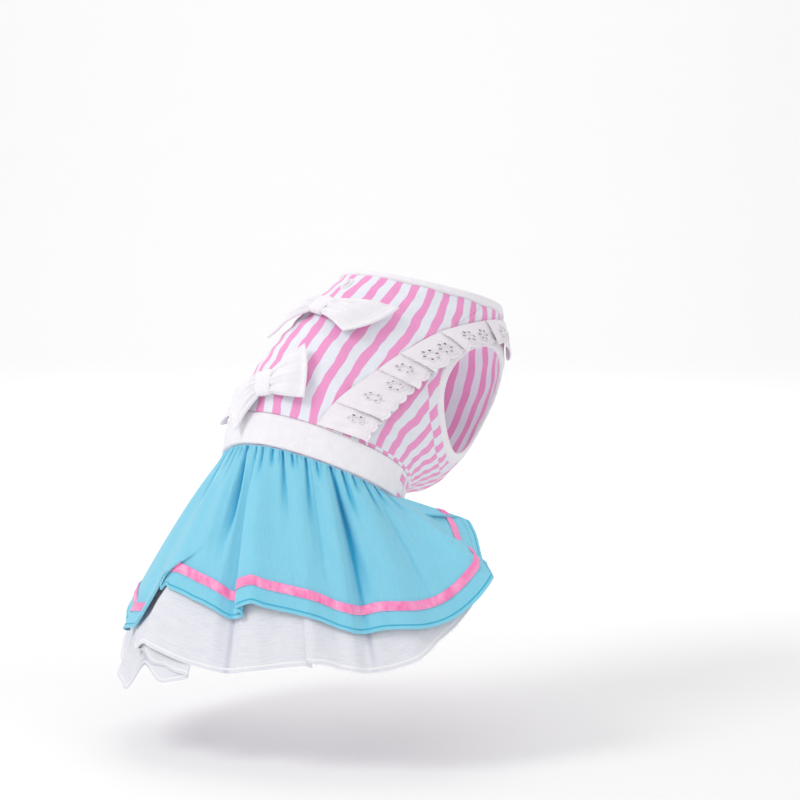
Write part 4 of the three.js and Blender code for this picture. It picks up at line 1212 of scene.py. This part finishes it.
def knot(name, bow):
    """A band wrapped round the middle of the bow, with soft pleats along it."""
    u, v = grid(96, 30, loop=True)
    turn, side = math.tau * u, 2 * v - 1
    end = 1 - 0.12 * side**6
    pleats = 0.22 * np.cos(side * KNOT_WIDTH / 2 * math.tau / 3.1 + 0.6) * (1 - side**4)
    round_off = (np.abs(np.cos(turn)) ** 2.6 + np.abs(np.sin(turn)) ** 2.6) ** (-1 / 2.6)
    y = (KNOT_HEIGHT / 2 * end + pleats) * np.sin(turn) * round_off
    rise = np.cos(turn) * round_off
    lift = BOW_LIFT + KNOT_THICKNESS / 2 * (1 + rise * end) + pleats * np.maximum(rise, 0)
    x = side * KNOT_WIDTH / 2 * (1 + 0.06 * np.sin(turn))
    outer = bow_place(bow, x, y, lift, bow["tilt"])
    centre = bow_place(bow, x, 0 * y, np.full(x.shape, BOW_LIFT + KNOT_THICKNESS / 2), bow["tilt"])
    inner = outer + unit(centre - outer) * 0.9
    return lined(name, outer, inner, white_cotton, np.stack([turn * 5, x], -1), loop=True)


bows = []
for bow_name, bow in (("upper_bow", UPPER_BOW), ("lower_bow", LOWER_BOW)):
    for way, hand in ((1, "right"), (-1, "left")):
        bows.append((wing(f"{bow_name}_cotton_{hand}", bow, way), f"{bow_name}_wing_{hand}"))
    bows.append((knot(f"{bow_name}_wrap", bow), f"{bow_name}_knot"))


# ---------------------------------------------------------------- stitches
def stitch_tree():
    """Geometry nodes that lay one stitch of thread on each point that they are given."""
    tree = bpy.data.node_groups.new("stitches_on_points", "GeometryNodeTree")
    face = tree.interface
    face.new_socket("Geometry", in_out="OUTPUT", socket_type="NodeSocketGeometry")
    for label, kind in (("Geometry", "Geometry"), ("Length", "Float"), ("Width", "Float"),
                        ("Height", "Float"), ("Uneven", "Float"), ("Seed", "Int"), ("Thread", "Material")):
        face.new_socket(label, in_out="INPUT", socket_type="NodeSocket" + kind)
    given = add(tree, "NodeGroupInput").outputs

    def vector(label):
        stored = add(tree, "GeometryNodeInputNamedAttribute", {"Name": label}, data_type="FLOAT_VECTOR")
        return stored.outputs[0]

    turn = add(tree, "FunctionNodeAxesToRotation", {0: vector("out"), 1: vector("way")},
               primary_axis="Z", secondary_axis="X").outputs[0]
    less = maths(tree, "SUBTRACT", 1.0, given["Uneven"])
    more = maths(tree, "ADD", 1.0, given["Uneven"])
    change = add(tree, "FunctionNodeRandomValue", {2: less, 3: more, "Seed": given["Seed"]},
                 data_type="FLOAT").outputs[1]
    size = add(tree, "ShaderNodeCombineXYZ", {
        "X": maths(tree, "MULTIPLY", given["Length"], change), "Y": given["Width"], "Z": given["Height"]})
    bead = add(tree, "GeometryNodeMeshUVSphere", {"Segments": 6, "Rings": 4, "Radius": 0.5})
    laid = add(tree, "GeometryNodeInstanceOnPoints", {
        "Points": given["Geometry"], "Instance": bead.outputs[0], "Rotation": turn, "Scale": size.outputs[0]})
    real = add(tree, "GeometryNodeRealizeInstances", {0: laid.outputs[0]})
    smooth = add(tree, "GeometryNodeSetShadeSmooth", {0: real.outputs[0]})
    painted = add(tree, "GeometryNodeSetMaterial", {0: smooth.outputs[0], "Material": given["Thread"]})
    add(tree, "NodeGroupOutput", {"Geometry": painted.outputs[0]})
    return tree


sewing = stitch_tree()


def stitches(name, lines, length, width, height, thread, uneven=0.15, seed=1):
    """Stitches of thread. lines: points in mm, the way each stitch runs and the way out of the cloth."""
    points, way, out = (
        np.concatenate([np.broadcast_to(line[k], line[0].shape) for line in lines]) for k in range(3))
    mesh = bpy.data.meshes.new(name + "_points")
    mesh.from_pydata((points * MM).tolist(), [], [])
    for label, values in (("way", way), ("out", out)):
        mesh.attributes.new(label, "FLOAT_VECTOR", "POINT").data.foreach_set(
            "vector", np.ascontiguousarray(values, np.float32).ravel())
    piece = bpy.data.objects.new(name, mesh)
    bpy.context.scene.collection.objects.link(piece)
    nodes = piece.modifiers.new("stitches", "NODES")
    nodes.node_group = sewing
    inputs = {"Length": length * MM, "Width": width * MM, "Height": height * MM, "Uneven": uneven,
              "Seed": seed, "Thread": thread}
    for socket in sewing.interface.items_tree:
        if socket.in_out == "INPUT" and socket.name in inputs:
            nodes[socket.identifier] = inputs[socket.name]
    sewn = bpy.data.meshes.new_from_object(piece.evaluated_get(bpy.context.evaluated_depsgraph_get()))
    piece.modifiers.remove(nodes)
    piece.data = sewn
    sewn.name = name
    return piece


def along_line(points, out, gap):
    """A line of stitches a gap apart, mm, along a row of points."""
    run = np.concatenate([[0], np.cumsum(np.linalg.norm(np.diff(points, axis=0), axis=1))])
    at = np.arange(gap / 2, run[-1], gap)

    def along(values):
        return np.stack([np.interp(at, run, values[:, k]) for k in range(3)], -1)

    way = unit(np.gradient(points, axis=0))
    return along(points), unit(along(way)), unit(along(out))


def on_band(at, low, high, lift, gap):
    """A line of stitches round the body at one place along the back."""
    around = np.linspace(low, high, 400)
    at = np.full(around.shape, float(at))
    return along_line(on_body(at, around, lift), body_normal(at, around), gap)


def hem_line(height, lift, gap, end=1.0):
    """A line of stitches on the skirt at a height above its hem, mm."""
    cloth, _, face, out = skirt_band(height - 0.5, height + 0.5, 900, 1, end)
    under = RIBBON_SINK * covered(cloth[:, :1]) * (height > RIBBON_ABOVE_HEM / 2)
    return along_line(face[:, 0] + out[:, 0] * (lift - under), out[:, 0], gap)


edge_low = RIBBON_ABOVE_HEM - RIBBON_WIDTH / 2 + 0.8
edge_high = RIBBON_ABOVE_HEM + RIBBON_WIDTH / 2 - 0.8
ribbon_stitches = stitches(
    "ribbon_stitches", [hem_line(h, 0.82, 2.3, RIBBON_END) for h in (edge_low, edge_high)],
    1.3, 0.35, 0.3, pink_thread)
hem_stitches = stitches("skirt_hem_stitches", [hem_line(2.6, 0.05, 1.9)], 1.4, 0.3, 0.25, blue_thread)

inset = 1.3 / MM_PER_AT
waistband_stitches = stitches(
    "waistband_stitches", [on_band(at, -WAISTBAND_END + 1, WAISTBAND_END - 1, WAISTBAND_WALL + 0.05, 2.5)
                           for at in (band_top - inset, band_bottom + inset)], 1.6, 0.35, 0.3, white_thread)
neck_stitches = stitches(
    "neck_stitches", [on_band(bodice_top + gap_at + inset, 0, 360, BINDING_WALL - 0.35, 2.4)],
    1.5, 0.35, 0.3, white_thread)


def armhole_line(way):
    turn = np.linspace(0, math.tau, 500)
    grow = ARMHOLE_BINDING_WIDTH - 1.4
    at, around = beside_at(ARMHOLE_FORWARD + (ARMHOLE_LENGTH / 2 + grow) * np.cos(turn),
                           ARMHOLE_UP + (ARMHOLE_HEIGHT / 2 + grow) * np.sin(turn))
    out = np.broadcast_to(np.array([-1.0, 0, 0]), turn.shape + (3,))
    points = body(at, around) + out * (BINDING_WALL - 0.3)
    return along_line(points * np.array([way, 1, 1]), out * way, 2.4)


armhole_stitches = [stitches(f"armhole_stitches_{hand}", [armhole_line(way)], 1.5, 0.35, 0.3, white_thread)
                    for way, hand in ((1, "right"), (-1, "left"))]


def bow_line(bow, way):
    """Stitches along a wing's three free edges, 2 mm in."""
    end = bow["right" if way > 0 else "left"][2]
    reach = 1 - 4.4 / end
    v = np.linspace(0.13, reach, 60)
    side = np.concatenate([np.full(60, -reach), np.linspace(-1, 1, 60) * reach, np.full(60, reach)])
    u = np.concatenate([v, np.full(60, v[-1]), v[::-1]])
    x, y, mid, tilt, _ = wing_middle(bow, way, u, side)
    points = bow_place(bow, way * x, y, mid + BOW_WALL / 2 - 0.2, tilt)
    ahead = bow_place(bow, way * x, y, mid + BOW_WALL / 2 + 0.8, tilt)
    return along_line(points, ahead - points, 2.2)


bow_stitches = [stitches(f"{bow_name}_stitches_{hand}", [bow_line(bow, way)], 1.4, 0.32, 0.3, white_thread)
                for bow_name, bow in (("upper_bow", UPPER_BOW), ("lower_bow", LOWER_BOW))
                for way, hand in ((1, "right"), (-1, "left"))]


def embroidery(name, way):
    """Satin stitches round the eyelets, and buttonhole stitches along the scallops."""
    places, ways = [], []
    for hole in eyelets:
        places.append(hole_outline(hole, 20, 0.45))
        ways.append(hole_outline(hole, 20, 1.0))
    x = np.arange(1, FLAT_LONG - 1, 0.62)
    places.append(np.stack([x, lace_edge(x) - 0.55], -1))
    ways.append(np.stack([x, lace_edge(x)], -1))
    flat, ahead = np.concatenate(places), np.concatenate(ways)
    start, tip = lace_place(*flat.T), lace_place(*ahead.T)
    side = lace_place(flat[:, 0] + 0.2, flat[:, 1]) - start
    out = unit(np.cross(tip - start, side))
    from_axis = start - np.array([0, start[:, 1].mean(), start[:, 2].mean()])
    out = out * np.sign(np.sum(out * from_axis, axis=1))[:, None]
    mirror = np.array([way, 1, 1])
    return stitches(name, [((start + out * 0.75) * mirror, (tip - start) * mirror, out * mirror)],
                    1.4, 0.5, 0.45, white_thread, 0.12, 5)


def frayed():
    """Loose thread ends along the raw part of the petticoat's hem."""
    draw = np.random.default_rng(8)
    cloth = np.sort(draw.uniform(0.3, 0.88, 260))[:, None]
    hem, above = (petticoat_place(cloth, np.full(cloth.shape, v))[:, 0] for v in (1.0, 0.985))
    beside = petticoat_place(cloth + 0.002, np.ones(cloth.shape))[:, 0]
    fall, along = unit(hem - above), unit(beside - hem)
    way = unit(fall + along * draw.uniform(-0.9, 0.9, cloth.shape))
    return hem + fall * 0.3, way, unit(np.cross(along, way))


fray = stitches("petticoat_loose_threads", [frayed()], 2.4, 0.16, 0.16, white_thread, 0.5, 9)
lace_stitches = [embroidery(f"lace_embroidery_{hand}", way) for way, hand in ((1, "right"), (-1, "left"))]


# ---------------------------------------------------------------- what stands for which solid
stands_for = [
    (back, "bodice_back", "striped_cotton"), (side_right, "bodice_side_right", "striped_cotton"),
    (side_left, "bodice_side_left", "striped_cotton"), (chest, "bodice_front", "striped_cotton"),
    (waistband, "waistband", "white_cotton"), (trims[0], "side_strip_right", "striped_cotton"),
    (trims[1], "side_piping_right", "white_cotton"), (trims[2], "side_strip_left", "striped_cotton"),
    (trims[3], "side_piping_left", "white_cotton"), (belly, "belly_panel", "striped_cotton"),
    (belly_piping, "belly_piping", "white_cotton"), (neck_binding, "neck_binding", "white_cotton"),
    (armhole_right, "armhole_binding_right", "white_cotton"),
    (armhole_left, "armhole_binding_left", "white_cotton"),
    (slot_stitches, "leash_slot_rim", "white_cotton"), (lace_right, "lace_ruffle_right", "eyelet_lace"),
    (lace_left, "lace_ruffle_left", "eyelet_lace"), (skirt_cloth, "skirt", "sky_georgette"),
    (ribbon_band, "skirt_ribbon", "pink_satin"), (petticoat_cloth, "petticoat", "white_voile"),
    *((piece, node, "white_cotton") for piece, node in bows),
]
for piece, node, finish in stands_for:
    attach(piece, "root")
    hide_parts(node)
sewn_on = [
    (fray, "white_voile"), (ribbon_stitches, "pink_satin"), (hem_stitches, "sky_georgette"),
    (waistband_stitches, "white_cotton"), (neck_stitches, "white_cotton"),
    *((piece, "white_cotton") for piece in armhole_stitches + bow_stitches),
    *((piece, "eyelet_lace") for piece in lace_stitches),
]
for piece, finish in sewn_on:
    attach(piece, "root")


# ---------------------------------------------------------------- studio
def studio():
    back_way, right_way, up_way = camera_frame()
    ahead = -np.array([back_way[0], back_way[1], 0]) / math.hypot(back_way[0], back_way[1])
    bend = np.linspace(0, math.pi / 2, 13)
    far = [(-4.0, 0.0), *((2.2 + 0.9 * math.sin(t), 0.9 - 0.9 * math.cos(t)) for t in bend), (3.1, 4.0)]
    floor_z = -0.212
    points = [tuple(ahead * run + right_way * side + np.array([0, 0, floor_z + rise]))
              for run, rise in far for side in (-5.0, 5.0)]
    faces = [(2 * i, 2 * i + 1, 2 * i + 3, 2 * i + 2) for i in range(len(far) - 1)]
    mesh = bpy.data.meshes.new("studio_sweep")
    mesh.from_pydata(points, [], faces)
    mesh.shade_smooth()
    sweep = bpy.data.objects.new("studio_sweep", mesh)
    bpy.context.scene.collection.objects.link(sweep)
    paper = bpy.data.materials.new("studio_paper")
    paper.use_nodes = True
    shader = paper.node_tree.nodes["Principled BSDF"]
    grain = add(paper.node_tree, "ShaderNodeTexNoise", {"Scale": 3.0, "Detail": 2.0})
    tone = add(paper.node_tree, "ShaderNodeMapRange", {0: grain.outputs[0], 3: 0.94, 4: 0.97})
    paper.node_tree.links.new(tone.outputs[0], shader.inputs["Base Color"])
    shader.inputs["Roughness"].default_value = 0.9
    mesh.materials.append(paper)

    world = bpy.data.worlds.new("studio")
    bpy.context.scene.world = world
    world.use_nodes = True
    world.node_tree.nodes["Background"].inputs["Color"].default_value = (1, 1, 1, 1)
    world.node_tree.nodes["Background"].inputs["Strength"].default_value = 0.72

    centre = np.array([0.0, -0.02, -0.02])
    for name, way, size, power in (
        ("key_light", 0.8 * back_way - 1.0 * right_way + 1.0 * up_way, 0.7, 8),
        ("fill_light", 1.0 * back_way + 1.3 * right_way + 0.4 * up_way, 1.6, 1.6),
        ("top_light", -0.3 * back_way + 1.4 * up_way, 1.2, 4),
        ("backdrop_light", -1.0 * back_way + 1.2 * up_way, 2.0, 10),
    ):
        light = bpy.data.lights.new(name, "AREA")
        light.shape = "DISK"
        light.size = size
        light.energy = power
        lamp = bpy.data.objects.new(name, light)
        bpy.context.scene.collection.objects.link(lamp)
        place = centre + way / np.linalg.norm(way) * 1.6
        aim = centre if name != "backdrop_light" else centre + ahead * 2.6
        lamp.location = place
        lamp.rotation_euler = direction(aim - place).to_euler()


def direction(way):
    return mathutils.Vector(way).to_track_quat("-Z", "Y")


VIEW_AZIMUTH = 220
VIEW_ELEVATION = 7
VIEW_DISTANCE = 1.8
SENSOR_WIDTH = 36
PIXELS_PER_MM = 1.62
IMAGE_SIZE = 800
ORIGIN_PIXEL = (264, 418)


def camera_frame():
    """Ways back towards the camera, to the right in the picture, and up in it."""
    a, e = math.radians(VIEW_AZIMUTH), math.radians(VIEW_ELEVATION)
    back_way = np.array([math.sin(a) * math.cos(e), -math.cos(a) * math.cos(e), math.sin(e)])
    right_way = np.array([math.cos(a), math.sin(a), 0.0])
    return back_way, right_way, np.cross(back_way, right_way)


def camera():
    back_way, right_way, up_way = camera_frame()
    half = IMAGE_SIZE / 2
    look = right_way * (half - ORIGIN_PIXEL[0]) + up_way * (ORIGIN_PIXEL[1] - half)
    look = look / PIXELS_PER_MM * MM
    data = bpy.data.cameras.new("camera")
    data.sensor_width = SENSOR_WIDTH
    data.lens = SENSOR_WIDTH * VIEW_DISTANCE / (IMAGE_SIZE / PIXELS_PER_MM * MM)
    data.clip_start, data.clip_end = 0.05, 30
    made = bpy.data.objects.new("camera", data)
    bpy.context.scene.collection.objects.link(made)
    made.location = look + back_way * VIEW_DISTANCE
    made.rotation_euler = direction(-back_way).to_euler()
    bpy.context.scene.camera = made


camera()
studio()
bpy.context.scene.view_settings.view_transform = "Standard"
